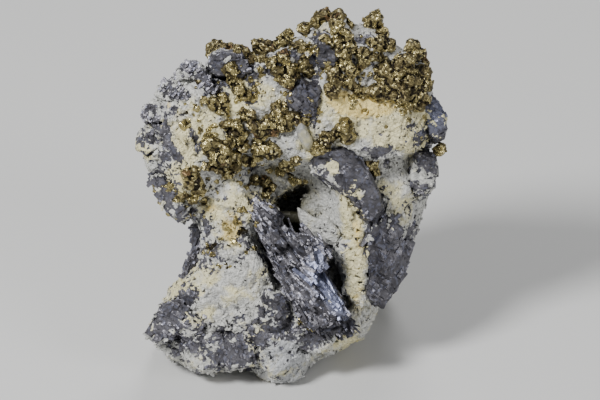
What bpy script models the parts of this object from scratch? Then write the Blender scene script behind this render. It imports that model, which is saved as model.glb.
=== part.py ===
"""A chalcopyrite specimen: brassy crystal groups grown on a broken block of quartz and galena.

Metres, +Z up, with the origin under the middle of the block, on the flat that it stands on.

Places are read as an eye sees the specimen that looks along +Y and down by VIEW_TILT. In millimetres,
"across" runs to the right and "up" runs up, both square to that line of sight, from the foot of the
front lobe. "Relief" runs along the line of sight, out of the specimen's face, which leans back.
"""

import math
import random

import bmesh
import bpy
from mathutils import Matrix, Vector, noise
from mathutils.bvhtree import BVHTree

MM = 0.001

VIEW_TILT = math.radians(30.0)
FACE_SLOPE = 0.325
GAP = 0.35
GREATEST_MITRE = 2.5

ROCK_VOXEL = 1.5
ROCK_TRIANGLES = 2600
SEATED_ROCK_TRIANGLES = 3800
LEVEL_WITHIN = 0.05
BROAD_SWELL = (12.0, 1.6)
ANGULAR_CHIPS = (5.0, 1.9)
FLOOR_WIDTH = 400.0
FLOOR_DEPTH = 40.0
FRACTURE_BLOCK = 120.0

TETRAHEDRON = ((1, 1, 1), (1, -1, -1), (-1, 1, -1), (-1, -1, 1))
CORNER_CUT = (0.36, 0.44)
WHOLE_CRYSTAL = 3.4
CRYSTAL_STRETCH = (0.9, 1.1)
CRYSTAL_SIZE = 0.7
CRYSTAL_LIFT = 0.1
CRYSTAL_TRIANGLES = 34
CLEAR_OF_ROCK = 60.0
RIM_RELIEF = -5.0
ROOT_SHARE = 0.5
ROOTED_WITHIN = 0.3
SMALLEST_GROUP = 8.0

QUARTZ = ("quartz", (0.76, 0.73, 0.64, 1.0), 0.0, 0.6)
GALENA = ("galena", (0.27, 0.28, 0.31, 1.0), 0.85, 0.38)
BLADE = ("quartz_blade", (0.86, 0.84, 0.76, 1.0), 0.0, 0.35)
BRASSY = ("chalcopyrite", (0.45, 0.34, 0.13, 1.0), 0.9, 0.36)

# The rock is a union of angular lumps. Each has its outline (across, up), its levels (relief, share of
# the outline there) from the back to the front, and how its relief dips across and up.
ROCK_LUMPS = {
    "left_lobe": (
        [(-18.5, 77.5), (-24.5, 78.5), (-29.5, 75), (-33, 70.5), (-36.5, 65), (-37, 59.5), (-35, 53),
         (-32.5, 48), (-29, 43), (-25, 41.5), (-21, 46), (-17, 50), (-12, 54), (-9, 62), (-10, 70),
         (-14, 76)],
        [(-27, 0.5), (-17, 0.85), (-5, 1.0), (2, 0.88), (5.5, 0.55)], (0.12, 0.0)),
    "crown": (
        [(-20, 76), (-15, 81.5), (-7, 82.5), (-1, 85), (4, 86), (9, 91), (14, 91), (17, 86), (19, 88),
         (24, 88), (27, 83), (31, 84), (34.5, 79), (36.5, 73), (38.5, 67), (38, 61), (34, 58), (25, 55),
         (12, 54), (0, 54), (-10, 56), (-18, 66)],
        [(-32, 0.55), (-22, 0.88), (-9, 1.0), (-1, 0.94), (2.5, 0.72)], (-0.08, 0.0)),
    "right_flank": (
        [(22, 58), (30, 59), (35.6, 57.5), (35.6, 50), (33.6, 45), (31.6, 38), (30, 34.5), (28.6, 28),
         (26.4, 24.5), (24.5, 21), (21, 18.5), (18, 20), (17, 29), (16, 37), (14, 47), (16, 55)],
        [(-52, 0.6), (-36, 0.92), (-18, 1.0), (-6, 0.9), (-2, 0.55)], (-0.45, 0.0)),
    "heart": (
        [(-16, 54), (0, 60), (26, 56), (33, 48), (31, 36), (27, 25), (23, 20), (19, 17), (13.5, 10),
         (5, 7.5), (0, 10), (-6, 22), (-8, 31), (-17, 42), (-20, 48)],
        [(-52, 0.55), (-38, 0.85), (-16, 1.0), (-7, 0.92)], (0.0, 0.0)),
    "neck": (
        [(-22.5, 44), (-16, 50), (-7, 49), (-5, 44), (-7.5, 39), (-5, 33), (-2, 25), (-8, 20), (-20, 24),
         (-23.5, 29), (-21.5, 34), (-23, 39)],
        [(-42, 0.55), (-28, 0.88), (-6, 1.0), (1, 0.85), (3, 0.5)], (0.0, 0.0)),
    "foot": (
        [(-34, 12), (-32.4, 18), (-29.8, 23), (-25.4, 27.4), (-21, 31), (-7.5, 30.5), (-1, 23.5),
         (2.5, 16), (5, 10), (2.5, 8), (-7, 3), (-12.5, 4), (-19, 3), (-24.5, 3.5), (-31, 7.5)],
        [(-50, 0.6), (-32, 0.9), (-8, 1.0), (1, 0.9), (3.5, 0.6)], (0.05, 0.0)),
    "front_lobe": (
        [(-8, 8.5), (-5.5, 11.5), (-1, 12.5), (2.5, 11), (4.7, 6), (2.5, 1.5), (-1, 0), (-4.5, -0.5),
         (-7.5, 2)],
        [(-16, 0.75), (-6, 1.0), (1, 0.97), (4.5, 0.66)], (0.0, 0.0)),
    "tail": (
        [(4, 10), (9, 13.5), (14, 16.5), (17.5, 19.5), (20.8, 18), (19.3, 14), (16, 10), (12.5, 7.5),
         (8, 6.5), (5, 6.5)],
        [(-36, 0.75), (-22, 0.96), (-8, 1.0), (-3, 0.8)], (-0.2, 0.0)),
    "vug_ridge": (
        [(14, 50), (16, 46.5), (18, 42), (19, 35), (19.5, 28.5), (20, 21), (18, 18.5), (15.5, 22),
         (14, 28.5), (12, 32), (10, 35), (11, 40), (10, 46), (11.5, 49)],
        [(-30, 0.75), (-12, 1.0), (-1, 0.97), (2, 0.62)], (0.0, 0.0)),
    "brow": (
        [(-3, 65), (2, 71), (10, 74), (32, 69), (34, 60), (27, 56.5), (19, 55), (10, 56), (2.5, 53.5),
         (-4, 56)],
        [(-20, 0.8), (-4, 1.0), (2, 0.95), (6, 0.68)], (-0.06, 0.0)),
    "white_spine": (
        [(7.6, 77), (10.2, 77.6), (11, 72), (10.8, 66), (8.4, 65.4), (7.4, 71)],
        [(-10, 0.9), (4.5, 1.0), (6.6, 0.62)], (0.0, 0.0)),
    "back_swell": (
        [(-22, 60), (-10, 72), (15, 74), (28, 66), (30, 50), (24, 34), (10, 26), (-8, 32), (-17, 46)],
        [(-46, 0.5), (-37, 0.82), (-20, 1.0)], (0.0, 0.0)),
}

# The broken faces at the back and sides: a place on each (x, y, z) and the way that it faces.
FRACTURES = {
    "upper_back": ((0, 37, 75), (0.12, 0.86, 0.5)),
    "lower_back": ((0, 53, 22), (0.08, 1, 0.1)),
    "waist_back": ((-6, 44, 52), (-0.25, 0.95, -0.1)),
    "back_left": ((-24, 40, 30), (-0.8, 0.6, 0.05)),
    "back_right": ((26, 44, 30), (0.72, 0.68, 0.12)),
    "upper_left": ((-27, 24, 66), (-0.55, 0.8, 0.2)),
    "upper_right": ((30, 26, 72), (0.62, 0.7, 0.3)),
}

# The hollows are cut with lumps of the same kind.
HOLLOWS = {
    "funnel": (
        [(-4.5, 47), (-4, 53), (0, 56.5), (5, 55), (11, 51.5), (14, 47.5), (15.5, 40), (15.5, 34),
         (11, 33.5), (6, 35), (-2, 40), (-4.5, 44)],
        [(-8.5, 0.42), (-2, 0.82), (4, 1.04), (14, 1.15)], (0.0, 0.0)),
    "vug": (
        [(-3.2, 45), (-2.2, 47), (0.5, 48.5), (2.5, 50), (5, 51), (5.6, 48.5), (4, 45.5), (3.6, 41.5),
         (5.5, 37), (2.5, 36.6), (-0.5, 38), (-3, 40.5)],
        [(-24, 0.7), (-15, 1.15), (-6, 1.05), (6, 1.1)], (0.0, 0.0)),
    "slot": (
        [(8.8, 34), (11.2, 32), (13.6, 27), (16.8, 20.6), (16.8, 17.6), (14.2, 18.2), (11.4, 23.5),
         (8.6, 28.4)],
        [(-13, 0.7), (-7, 1.0), (10, 1.05)], (0.0, 0.0)),
    "crack": (
        [(-10.2, 39.8), (-8.3, 39.5), (-6, 35), (-4, 30.5), (-2, 27), (-0.5, 22.8), (-2.2, 22.8),
         (-4.2, 26.5), (-6.4, 30.5), (-8.4, 35)],
        [(-11, 0.75), (-5, 1.0), (10, 1.12)], (0.0, 0.0)),
}

# The galena crystals and cleavage blocks, each of one lump or several grown together.
GALENA_BLOCKS = {
    "galena_cleavage_block": [
        ([(-8.6, 41), (-7.6, 44), (-5, 45.2), (-2.4, 44), (-2.4, 40), (2.6, 36.4), (1, 31), (-2.6, 29),
          (-6.2, 35)],
         [(-9, 0.9), (2.5, 1.0), (4.5, 0.9)], (-0.15, 0.2)),
        ([(0.5, 37), (4.6, 37.4), (9.2, 35.4), (9.6, 29.6), (7.4, 27.2), (1, 30)],
         [(-9, 0.9), (4, 1.0), (5.5, 0.93)], (0.22, 0.3)),
        ([(-3.4, 31), (0.5, 33.5), (6.2, 28.6), (9.4, 25), (12.4, 22), (14.9, 17.2), (10.8, 15.4), (6, 19),
          (1.4, 24), (-1.8, 27)],
         [(-8, 0.9), (4.5, 1.0), (6.5, 0.88)], (0.3, -0.1)),
        ([(-2.2, 28), (2, 25.4), (7, 19.8), (11.6, 16.4), (15.2, 15.6), (14, 12.2), (9.5, 12.4),
          (5.2, 13.4), (1.8, 16.6), (-0.2, 21.6)],
         [(-9, 0.85), (2, 1.0), (4.6, 0.86)], (0.12, -0.2)),
    ],
    "galena_centre_crystal": [
        ([(5.4, 55), (6.4, 57.4), (10, 58.8), (14, 59), (16.8, 58), (19.4, 54), (18, 50), (13, 47.6),
          (9, 50.6), (6.4, 52.4)],
         [(-7, 0.85), (3.5, 1.0), (6, 0.85)], (-0.12, 0.12)),
        ([(13, 55), (18, 56.4), (20.8, 52.4), (23.2, 47.6), (24.2, 43.6), (22, 40.2), (18.8, 41),
          (16.6, 44.2), (13.4, 48.6)],
         [(-9, 0.85), (2.5, 1.0), (5, 0.82)], (-0.3, 0.05)),
    ],
    "galena_flank": [
        ([(18.8, 36), (20.6, 40), (23.4, 42.4), (25.8, 40), (27.2, 36.5), (26.4, 29), (22.6, 27),
          (19.4, 30)],
         [(-22, 0.8), (-3, 1.0), (0.5, 0.84)], (-0.3, 0.1)),
        ([(22.6, 38), (27.6, 37), (31.4, 36.2), (30.4, 30.5), (28.8, 25.8), (25.6, 21.2), (22, 19.2),
          (19.8, 21.4), (19.2, 29)],
         [(-24, 0.8), (-5, 1.0), (-1.6, 0.86)], (-0.55, -0.05)),
    ],
    "galena_right_crystal": [
        ([(30.6, 56), (33.5, 58.7), (36.7, 57.2), (37.4, 53), (36.2, 49), (33.4, 46), (31.3, 47.5),
          (30, 51.5)],
         [(-16, 0.8), (-8, 1.0), (-4, 0.8)], (-0.35, 0.0)),
    ],
    "galena_edge_knob": [
        ([(34.5, 72), (36.7, 70.9), (38.7, 67.6), (39.7, 63.5), (38.8, 61.1), (36.5, 60), (34.5, 62),
          (33.5, 66.5)],
         [(-12, 0.7), (-5, 1.0), (-1, 0.8)], (0.0, 0.0)),
    ],
    "galena_rim_1": [
        ([(-27.6, 77.6), (-25.4, 79.8), (-23, 80.4), (-21, 79), (-18.4, 74.8), (-16.8, 72), (-19, 71.6),
          (-22, 75.5), (-24.5, 76.5), (-27.5, 75.5)],
         [(-9, 0.7), (1, 1.0), (4.6, 0.88)], (0.0, 0.0)),
    ],
    "galena_rim_2": [
        ([(-32.8, 72), (-31, 74.6), (-28.4, 76), (-25.2, 73.6), (-22.8, 70.4), (-25, 69), (-28.5, 71),
          (-31, 70.5)],
         [(-8, 0.7), (0, 1.0), (4, 0.84)], (0.0, 0.0)),
    ],
    "galena_rim_3": [
        ([(-36.2, 66.5), (-35.8, 68.8), (-33.3, 70.8), (-30.2, 70.2), (-29, 66.6), (-31.5, 64.6),
          (-35.2, 65)],
         [(-8, 0.75), (-1, 1.0), (3.5, 0.82)], (0.1, 0.0)),
    ],
    "galena_rim_4": [
        ([(-37.8, 58.6), (-37.6, 61.2), (-36, 63.6), (-32, 64), (-29.6, 61.2), (-31.5, 58.6), (-35, 57.2)],
         [(-8, 0.75), (-1, 1.0), (3.2, 0.82)], (0.12, 0.0)),
    ],
    "galena_rim_5": [
        ([(-34.4, 52.5), (-31.2, 52.6), (-27, 47), (-24, 41.8), (-26.2, 40.4), (-29.8, 42.8), (-32.8, 47)],
         [(-10, 0.75), (-3, 1.0), (2, 0.82)], (0.1, 0.0)),
    ],
    "galena_dome": [
        ([(-20.4, 79), (-19.2, 81.6), (-16.5, 83), (-12.5, 82.6), (-9.6, 80.4), (-8.6, 77.5), (-11, 75.4),
          (-14.5, 76), (-19, 76.6)],
         [(-9, 0.75), (0, 1.0), (4.6, 0.84)], (0.0, 0.0)),
    ],
    "galena_neck_plate": [
        ([(-24.3, 40), (-21.5, 40), (-20.5, 34.5), (-19.5, 32), (-20.5, 28), (-24.5, 25), (-27, 26),
          (-25.5, 30.5), (-24, 34)],
         [(-18, 0.8), (-10, 1.0), (-4, 0.9)], (0.0, 0.0)),
    ],
    "galena_foot_left": [
        ([(-35.4, 12.2), (-33.4, 16.6), (-31, 20.6), (-27, 21.2), (-24.6, 17.5), (-25.6, 13.6), (-29, 10.4),
          (-33, 9.6)],
         [(-10, 0.8), (0, 1.0), (4, 0.84)], (0.15, 0.0)),
        ([(-29, 14.6), (-25, 17.8), (-20.6, 15), (-21.4, 11.2), (-26, 9.8)],
         [(-8, 0.8), (2, 1.0), (4.6, 0.8)], (0.0, 0.25)),
    ],
    "galena_foot_front": [
        ([(-27, 9.8), (-22.5, 12.8), (-16.4, 12.6), (-15, 8), (-17.5, 3.2), (-22, 2.6), (-25.6, 5)],
         [(-7, 0.75), (2, 1.0), (5, 0.82)], (0.0, 0.1)),
        ([(-17.4, 12.8), (-12, 13.2), (-8, 9.6), (-8.8, 4.6), (-14, 3.4), (-17.6, 4.6)],
         [(-7, 0.8), (2.6, 1.0), (5.4, 0.8)], (0.2, -0.15)),
    ],
    "galena_foot_right": [
        ([(-9.4, 20), (-5, 23.4), (-1.4, 22.2), (0.8, 17.8), (-1, 13.4), (-5.5, 12.6), (-9, 15)],
         [(-8, 0.85), (2.4, 1.0), (4.8, 0.82)], (0.1, 0.15)),
    ],
    "galena_crown_block": [
        ([(6.4, 83), (9, 84.4), (12.4, 82.2), (12, 78.6), (8.2, 78)],
         [(-6, 0.85), (2, 1.0), (4.8, 0.82)], (0.0, 0.1)),
    ],
    "galena_dark_cubes": [
        ([(0.8, 72.4), (3.6, 74.9), (8.2, 73.8), (8.2, 70), (5.4, 66), (2.6, 67.4), (-0.2, 70.5)],
         [(-5, 0.8), (4, 1.0), (6.6, 0.78)], (0.0, 0.0)),
    ],
}

# The blades of quartz in and over the vug.
BLADES = {
    "leaf_blade": [
        ([(2.4, 44.2), (4, 43.3), (6.5, 41.5), (10, 41), (13, 38.5), (12.5, 35), (8.5, 35), (5.6, 36.3),
          (4, 38.8), (2.8, 41.5)],
         [(-9, 0.9), (-5, 1.0), (-3, 0.98), (-1.7, 0.84)], (0.35, 0.1)),
    ],
    "vug_blade": [
        ([(-6.4, 43), (0, 43), (6, 42.4), (8, 40.6), (3, 40.2), (-6, 40.2)],
         [(-18, 0.9), (-12, 1.0), (-10, 0.85)], (0.0, 0.2)),
    ],
    "brow_blade": [
        ([(2.2, 64.2), (3.6, 65.2), (6.3, 60.4), (5.8, 58), (4, 58.6), (2.5, 62)],
         [(-3, 0.9), (6.5, 1.0), (8.5, 0.72)], (0.1, 0.1)),
    ],
}

# Each group of chalcopyrite crystals: (across, up, width) of every crystal that the eye can tell apart.
CRYSTAL_GROUPS = {
    "shoulder": [(-17.4, 82.8, 4.4), (-14.6, 83.2, 3.6), (-12, 82.2, 4.2), (-9.8, 80.8, 3.2)],
    "left_column": [(-14, 78, 3.3), (-13.4, 75.6, 3.0), (-12, 73.6, 3.6), (-10.5, 71.8, 2.8)],
    "left_trio": [(-18.5, 70, 3.4), (-16.2, 70.4, 3.0), (-16.2, 68, 3.2)],
    "belt": [
        (-19, 59.6, 4.8), (-16.8, 58.4, 5.0), (-18, 56.8, 3.5), (-14.8, 59.6, 3.0), (-15.4, 56, 3.5),
        (-13, 57.2, 3.2), (-13, 54.8, 3.2), (-11, 56, 3.2), (-9.2, 55.6, 2.6), (-15, 53.2, 3.1),
        (-17.2, 54, 2.8), (-20, 54.4, 2.5), (-15, 64.6, 3.0), (-12.6, 64, 3.5), (-13.6, 62, 3.0),
        (-11.4, 61.8, 3.6), (-11, 59.4, 3.3), (-10.6, 67.8, 2.5), (-9, 66.5, 3.3), (-7.4, 64, 3.9),
        (-6.8, 61.9, 3.0), (-4.4, 65, 4.4), (-1.9, 67.2, 4.4), (-1, 64.6, 4.2), (-3, 69, 2.6),
        (-3.6, 62.6, 2.8), (-6.2, 59, 5.0), (-4, 58.6, 4.6)],
    "lobe_low": [
        (-25, 52.4, 2.8), (-23, 53.2, 2.4), (-22.6, 51, 3.0), (-24.2, 50, 3.2), (-22, 48.9, 3.2),
        (-23.6, 46.9, 3.2), (-26, 47.2, 2.4), (-21, 46.4, 2.4)],
    "lip": [(-10.9, 48.9, 2.4), (-8, 50.9, 2.8), (-6, 50.6, 2.6), (-4.8, 49.4, 3.0), (-5.8, 47.8, 2.8)],
    "west_ridge": [
        (-7, 84, 3.5), (-4.6, 83.5, 3.5), (-6.4, 80.2, 3.0), (-4, 79.2, 2.6), (-1.1, 81, 3.5),
        (-0.5, 86.3, 3.4), (-2.3, 84.2, 2.8), (-2.6, 77.8, 2.8), (0.6, 78, 3.2), (0, 75.2, 3.7),
        (2, 76.6, 2.4)],
    "peak": [
        (8.9, 91.2, 4.2), (12.6, 91, 3.8), (7, 90, 2.8), (12, 88.8, 3.5), (14.6, 89, 3.5), (14.2, 86.4, 3.6),
        (15, 84.2, 3.3), (12.2, 84.6, 3.2), (9.2, 85.4, 2.6), (13.6, 82.3, 4.0), (4, 88.2, 3.5)],
    "crown": [(3.4, 83.5, 3.5), (1.4, 83.6, 2.5), (4, 79.2, 3.5), (5.2, 77.4, 2.4)],
    "tower": [
        (21.5, 90.2, 4.7), (23.2, 87, 3.0), (22.6, 84.2, 3.7), (20.8, 84.6, 2.5), (25, 84.2, 3.0),
        (18, 82, 3.2), (18.4, 79.6, 2.8), (20.2, 81, 2.7), (22.6, 81, 2.6)],
    "centre": [
        (11, 77.6, 3.8), (11.6, 75.4, 4.2), (11, 73, 3.8), (14, 79.6, 3.0), (15.6, 77.8, 3.2),
        (15, 74.8, 2.6), (16.8, 73.6, 3.4), (18.6, 72.2, 2.6)],
    "east": [
        (24.2, 76.2, 5.4), (26.8, 77.2, 4.2), (27.4, 74.2, 4.4), (31, 75, 4.4), (33.6, 74.4, 4.0),
        (22.6, 73, 4.4), (25.2, 72, 4.0), (28.4, 71.4, 4.0), (30.8, 72, 3.8), (33, 71.4, 3.8),
        (24, 79.2, 3.4), (20.6, 72.4, 3.6), (30, 69.4, 3.2), (32.2, 69.4, 3.4), (29.4, 75.4, 3.4),
        (30.6, 83.8, 4.0), (32, 81.6, 4.2), (33.2, 79.6, 4.0), (29.6, 80.2, 3.8), (27.2, 80, 3.4),
        (33.2, 77.2, 3.8), (30.2, 77.8, 3.8)],
    "brow": [(13.8, 63.8, 4.4), (14.8, 61.8, 3.6), (9.6, 61, 3.9), (7.2, 58.6, 3.4), (9, 58.6, 2.9),
             (11, 62.6, 2.2)],
    "dark_low": [(20.2, 55.4, 3.9), (21.4, 53.2, 2.6)],
    "edge_tip": [(37.8, 58.6, 3.2)],
    "mid_pair": [(1, 66.4, 3.4), (3.4, 65.2, 3.2)],
    "vug_brow": [(-0.2, 55, 3.4), (2, 56, 2.7), (-1.8, 53, 2.4)],
}


def seen_to_frame():
    """The matrix that takes (across, up, relief) in millimetres to the frame."""
    lean = Matrix.Identity(4)
    lean[2][1] = FACE_SLOPE
    turn = Matrix((
        (1, 0, 0, 0),
        (0, math.sin(VIEW_TILT), -math.cos(VIEW_TILT), 0),
        (0, math.cos(VIEW_TILT), math.sin(VIEW_TILT), 0),
        (0, 0, 0, 1),
    ))
    return Matrix.Scale(MM, 4) @ turn @ lean


SEEN = seen_to_frame()
TO_EYE = Vector((0, -math.cos(VIEW_TILT), math.sin(VIEW_TILT)))


def clear_scene():
    for obj in list(bpy.data.objects):
        bpy.data.objects.remove(obj)


def collection_named(name):
    made = bpy.data.collections.new(name)
    bpy.context.scene.collection.children.link(made)
    return made


def material_of(finish):
    name, colour, metallic, roughness = finish
    made = bpy.data.materials.new(name)
    made.use_nodes = True
    shader = made.node_tree.nodes["Principled BSDF"]
    shader.inputs["Base Color"].default_value = colour
    shader.inputs["Metallic"].default_value = metallic
    shader.inputs["Roughness"].default_value = roughness
    return made


def object_of(shape, name, collection, material=None):
    """An object made of a bmesh, which is freed."""
    mesh = bpy.data.meshes.new(name)
    bmesh.ops.recalc_face_normals(shape, faces=shape.faces)
    shape.to_mesh(mesh)
    shape.free()
    if material:
        mesh.materials.append(material)
    made = bpy.data.objects.new(name, mesh)
    collection.objects.link(made)
    return made


def apply_modifiers(obj):
    """Gives the object the mesh that its modifiers make, and removes them."""
    graph = bpy.context.evaluated_depsgraph_get()
    mesh = bpy.data.meshes.new_from_object(obj.evaluated_get(graph))
    obj.modifiers.clear()
    old = obj.data
    obj.data = mesh
    bpy.data.meshes.remove(old)


def add_lump(shape, lump):
    """Adds one angular lump: its outline, extruded and scaled from each level to the next."""
    outline, levels, dip = lump
    middle = sum((Vector((*point, 0)) for point in outline), Vector()) / len(outline)
    pivot = Matrix.Translation(-middle)
    relief, share = levels[0]
    start = [middle + (Vector((*point, 0)) - middle) * share + Vector((0, 0, relief)) for point in outline]
    cap = shape.faces.new([shape.verts.new(point) for point in start])
    made = set(cap.verts)
    for number, (next_relief, next_share) in enumerate(levels[1:]):
        inner = cap
        grown = bmesh.ops.extrude_face_region(shape, geom=[inner])["geom"]
        cap = next(part for part in grown if isinstance(part, bmesh.types.BMFace))
        if number > 0:
            bmesh.ops.delete(shape, geom=[inner], context="FACES_ONLY")
        ring = list(cap.verts)
        size = next_share / share
        bmesh.ops.translate(shape, verts=ring, vec=(0, 0, next_relief - relief))
        bmesh.ops.scale(shape, verts=ring, vec=(size, size, 1), space=pivot)
        made.update(ring)
        relief, share = next_relief, next_share
    for point in made:
        point.co.z += dip[0] * (point.co.x - middle.x) + dip[1] * (point.co.y - middle.y)
    bmesh.ops.transform(shape, matrix=SEEN, verts=list(made))


def lump_object(lumps, name, collection, material=None):
    shape = bmesh.new()
    for lump in lumps:
        add_lump(shape, lump)
    return object_of(shape, name, collection, material)


def fuse(obj):
    """Makes one closed skin round everything in the object."""
    remesh = obj.modifiers.new("fuse", "REMESH")
    remesh.mode = "VOXEL"
    remesh.voxel_size = ROCK_VOXEL * MM
    apply_modifiers(obj)


def boolean(obj, other, operation, overlapping=False):
    cut = obj.modifiers.new(operation.lower(), "BOOLEAN")
    cut.operation = operation
    cut.solver = "EXACT"
    cut.use_self = overlapping
    cut.object = other
    apply_modifiers(obj)


def grown(obj, distance, collection):
    """A copy of the object with every face moved out by the distance, to cut its neighbours with."""
    shape = bmesh.new()
    shape.from_mesh(obj.data)
    bmesh.ops.triangulate(shape, faces=shape.faces)
    shape.normal_update()
    moves = []
    for point in shape.verts:
        mitre = min(point.calc_shell_factor(), GREATEST_MITRE)
        moves.append(point.normal * distance * MM * mitre)
    for point, move in zip(shape.verts, moves):
        point.co += move
    made = object_of(shape, obj.name + "_seat", collection)
    made.hide_render = True
    made.display_type = "WIRE"
    return made


def roughen(obj):
    """Breaks the fused skin into broad swells and angular chips."""
    moves = []
    for point in obj.data.vertices:
        place = point.co / MM
        wave, height = BROAD_SWELL
        swell = noise.noise(place / wave) * height
        wave, height = ANGULAR_CHIPS
        chips = (0.5 - noise.voronoi(place / wave)[0][0]) * height
        moves.append(point.normal * (swell + chips) * MM)
    for point, move in zip(obj.data.vertices, moves):
        point.co += move


def thin_out(obj, triangles):
    present = sum(len(face.vertices) - 2 for face in obj.data.polygons)
    reduce = obj.modifiers.new("thin_out", "DECIMATE")
    reduce.ratio = min(1, triangles / present)
    reduce.use_collapse_triangulate = True
    apply_modifiers(obj)


def level_base(obj):
    """Brings the points of the underside back to one level."""
    for point in obj.data.vertices:
        if abs(point.co.z) < LEVEL_WITHIN * MM:
            point.co.z = 0


def islands(shape):
    """The connected bodies of a bmesh, as lists of faces, largest first."""
    unseen = set(shape.faces)
    found = []
    while unseen:
        waiting = [unseen.pop()]
        body = []
        while waiting:
            face = waiting.pop()
            body.append(face)
            near = {other for edge in face.edges for other in edge.link_faces} & unseen
            unseen -= near
            waiting.extend(near)
        found.append(body)
    return sorted(found, key=len, reverse=True)


def keep_largest(obj):
    """Drops the chips that a cut has set loose."""
    shape = bmesh.new()
    shape.from_mesh(obj.data)
    loose = [face for body in islands(shape)[1:] for face in body]
    bmesh.ops.delete(shape, geom=loose, context="FACES")
    shape.to_mesh(obj.data)
    shape.free()


def near(first, second):
    """Whether the boxes round two objects meet."""
    boxes = []
    for obj in (first, second):
        places = [point.co for point in obj.data.vertices]
        low = [min(place[axis] for place in places) for axis in range(3)]
        high = [max(place[axis] for place in places) for axis in range(3)]
        boxes.append((low, high))
    (low_a, high_a), (low_b, high_b) = boxes
    return all(low_a[axis] < high_b[axis] and low_b[axis] < high_a[axis] for axis in range(3))


def floor_block(collection):
    """The space under the flat that the specimen stands on, to cut its pieces with."""
    shape = bmesh.new()
    bmesh.ops.create_cube(shape, size=1)
    bmesh.ops.scale(shape, vec=(FLOOR_WIDTH * MM, FLOOR_WIDTH * MM, FLOOR_DEPTH * MM), verts=shape.verts)
    bmesh.ops.translate(shape, vec=(0, 0, -FLOOR_DEPTH * MM / 2), verts=shape.verts)
    made = object_of(shape, "floor_block", collection)
    made.hide_render = True
    made.display_type = "WIRE"
    return made


def fracture_block(name, place, facing, cutters):
    """The space beyond a broken face, to cut the rock with."""
    shape = bmesh.new()
    bmesh.ops.create_cube(shape, size=FRACTURE_BLOCK * MM)
    bmesh.ops.translate(shape, vec=(0, 0, FRACTURE_BLOCK * MM / 2), verts=shape.verts)
    turn = Vector(facing).to_track_quat("Z", "Y").to_matrix().to_4x4()
    bmesh.ops.transform(shape, matrix=Matrix.Translation(Vector(place) * MM) @ turn, verts=shape.verts)
    made = object_of(shape, name, cutters)
    made.hide_render = True
    made.display_type = "WIRE"
    return made


def build_rock(parts, cutters, floor):
    """The rock: its lumps fused, hollowed, roughened and cut flat underneath."""
    rock = lump_object(ROCK_LUMPS.values(), "quartz_matrix", parts, material_of(QUARTZ))
    fuse(rock)
    for name, lump in HOLLOWS.items():
        hollow = lump_object([lump], name, cutters)
        hollow.hide_render = True
        hollow.display_type = "WIRE"
        boolean(rock, hollow, "DIFFERENCE")
    for name, (place, facing) in FRACTURES.items():
        boolean(rock, fracture_block(name, place, facing, cutters), "DIFFERENCE")
    fuse(rock)
    roughen(rock)
    thin_out(rock, ROCK_TRIANGLES)
    boolean(rock, floor, "DIFFERENCE")
    keep_largest(rock)
    return rock


def build_blocks(parts, cutters, floor):
    """The galena and the quartz blades, each cut back from those before it."""
    galena, quartz = material_of(GALENA), material_of(BLADE)
    blocks, seats = [], []
    for material, pieces in ((galena, GALENA_BLOCKS), (quartz, BLADES)):
        for name, lumps in pieces.items():
            block = lump_object(lumps, name, parts, material)
            seat = grown(block, GAP, cutters)
            for body in (block, seat):
                boolean(body, floor, "DIFFERENCE", overlapping=True)
            for other in seats:
                if near(block, other):
                    boolean(block, other, "DIFFERENCE")
            keep_largest(block)
            blocks.append(block)
            seats.append(seat)
    return blocks, seats


def add_crystal(shape, centre, width, rng):
    """Adds one crystal, turned at random: a tetrahedron with its corners cut off, or the octahedron
    that it becomes where they are cut to the middle of its edges."""
    cut = rng.uniform(*CORNER_CUT) if width > WHOLE_CRYSTAL else 0.5
    turn = Matrix.Rotation(rng.uniform(0, math.tau), 3, Vector([rng.uniform(-1, 1) for _ in range(3)]))
    stretch = [rng.uniform(*CRYSTAL_STRETCH) for _ in range(3)]
    points = []
    for corner in TETRAHEDRON:
        for other in TETRAHEDRON:
            if other is not corner:
                point = Vector(corner).lerp(Vector(other), cut)
                stretched = Vector([part * by for part, by in zip(point, stretch)])
                points.append(centre + turn @ stretched * width * CRYSTAL_SIZE * MM)
    add_hull(shape, points)


def add_hull(shape, places):
    """Adds the convex body that the places span."""
    points = [shape.verts.new(place) for place in places]
    made = bmesh.ops.convex_hull(shape, input=points)
    spare = [part for part in made["geom_interior"] if isinstance(part, bmesh.types.BMVert)]
    bmesh.ops.delete(shape, geom=spare, context="VERTS")


def add_root(shape, first, second, radius):
    """Adds a stub of massive chalcopyrite that joins one crystal to the next."""
    places = []
    for centre in (first, second):
        for axis in range(3):
            for sign in (-1, 1):
                places.append(centre + Vector([sign * radius if part == axis else 0 for part in range(3)]))
    add_hull(shape, places)


def seat_of(across, up, width, ground):
    """Where a crystal sits: on the first rock that the eye meets there, or beside the nearest rock."""
    far = SEEN @ Vector((across, up, CLEAR_OF_ROCK))
    hit = ground.ray_cast(far, -TO_EYE)[0]
    if hit is None:
        level = SEEN @ Vector((across, up, RIM_RELIEF))
        nearest = ground.find_nearest(level)[0]
        return level + TO_EYE * (nearest - level).dot(TO_EYE)
    return hit + TO_EYE * CRYSTAL_LIFT * width * MM


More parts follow.
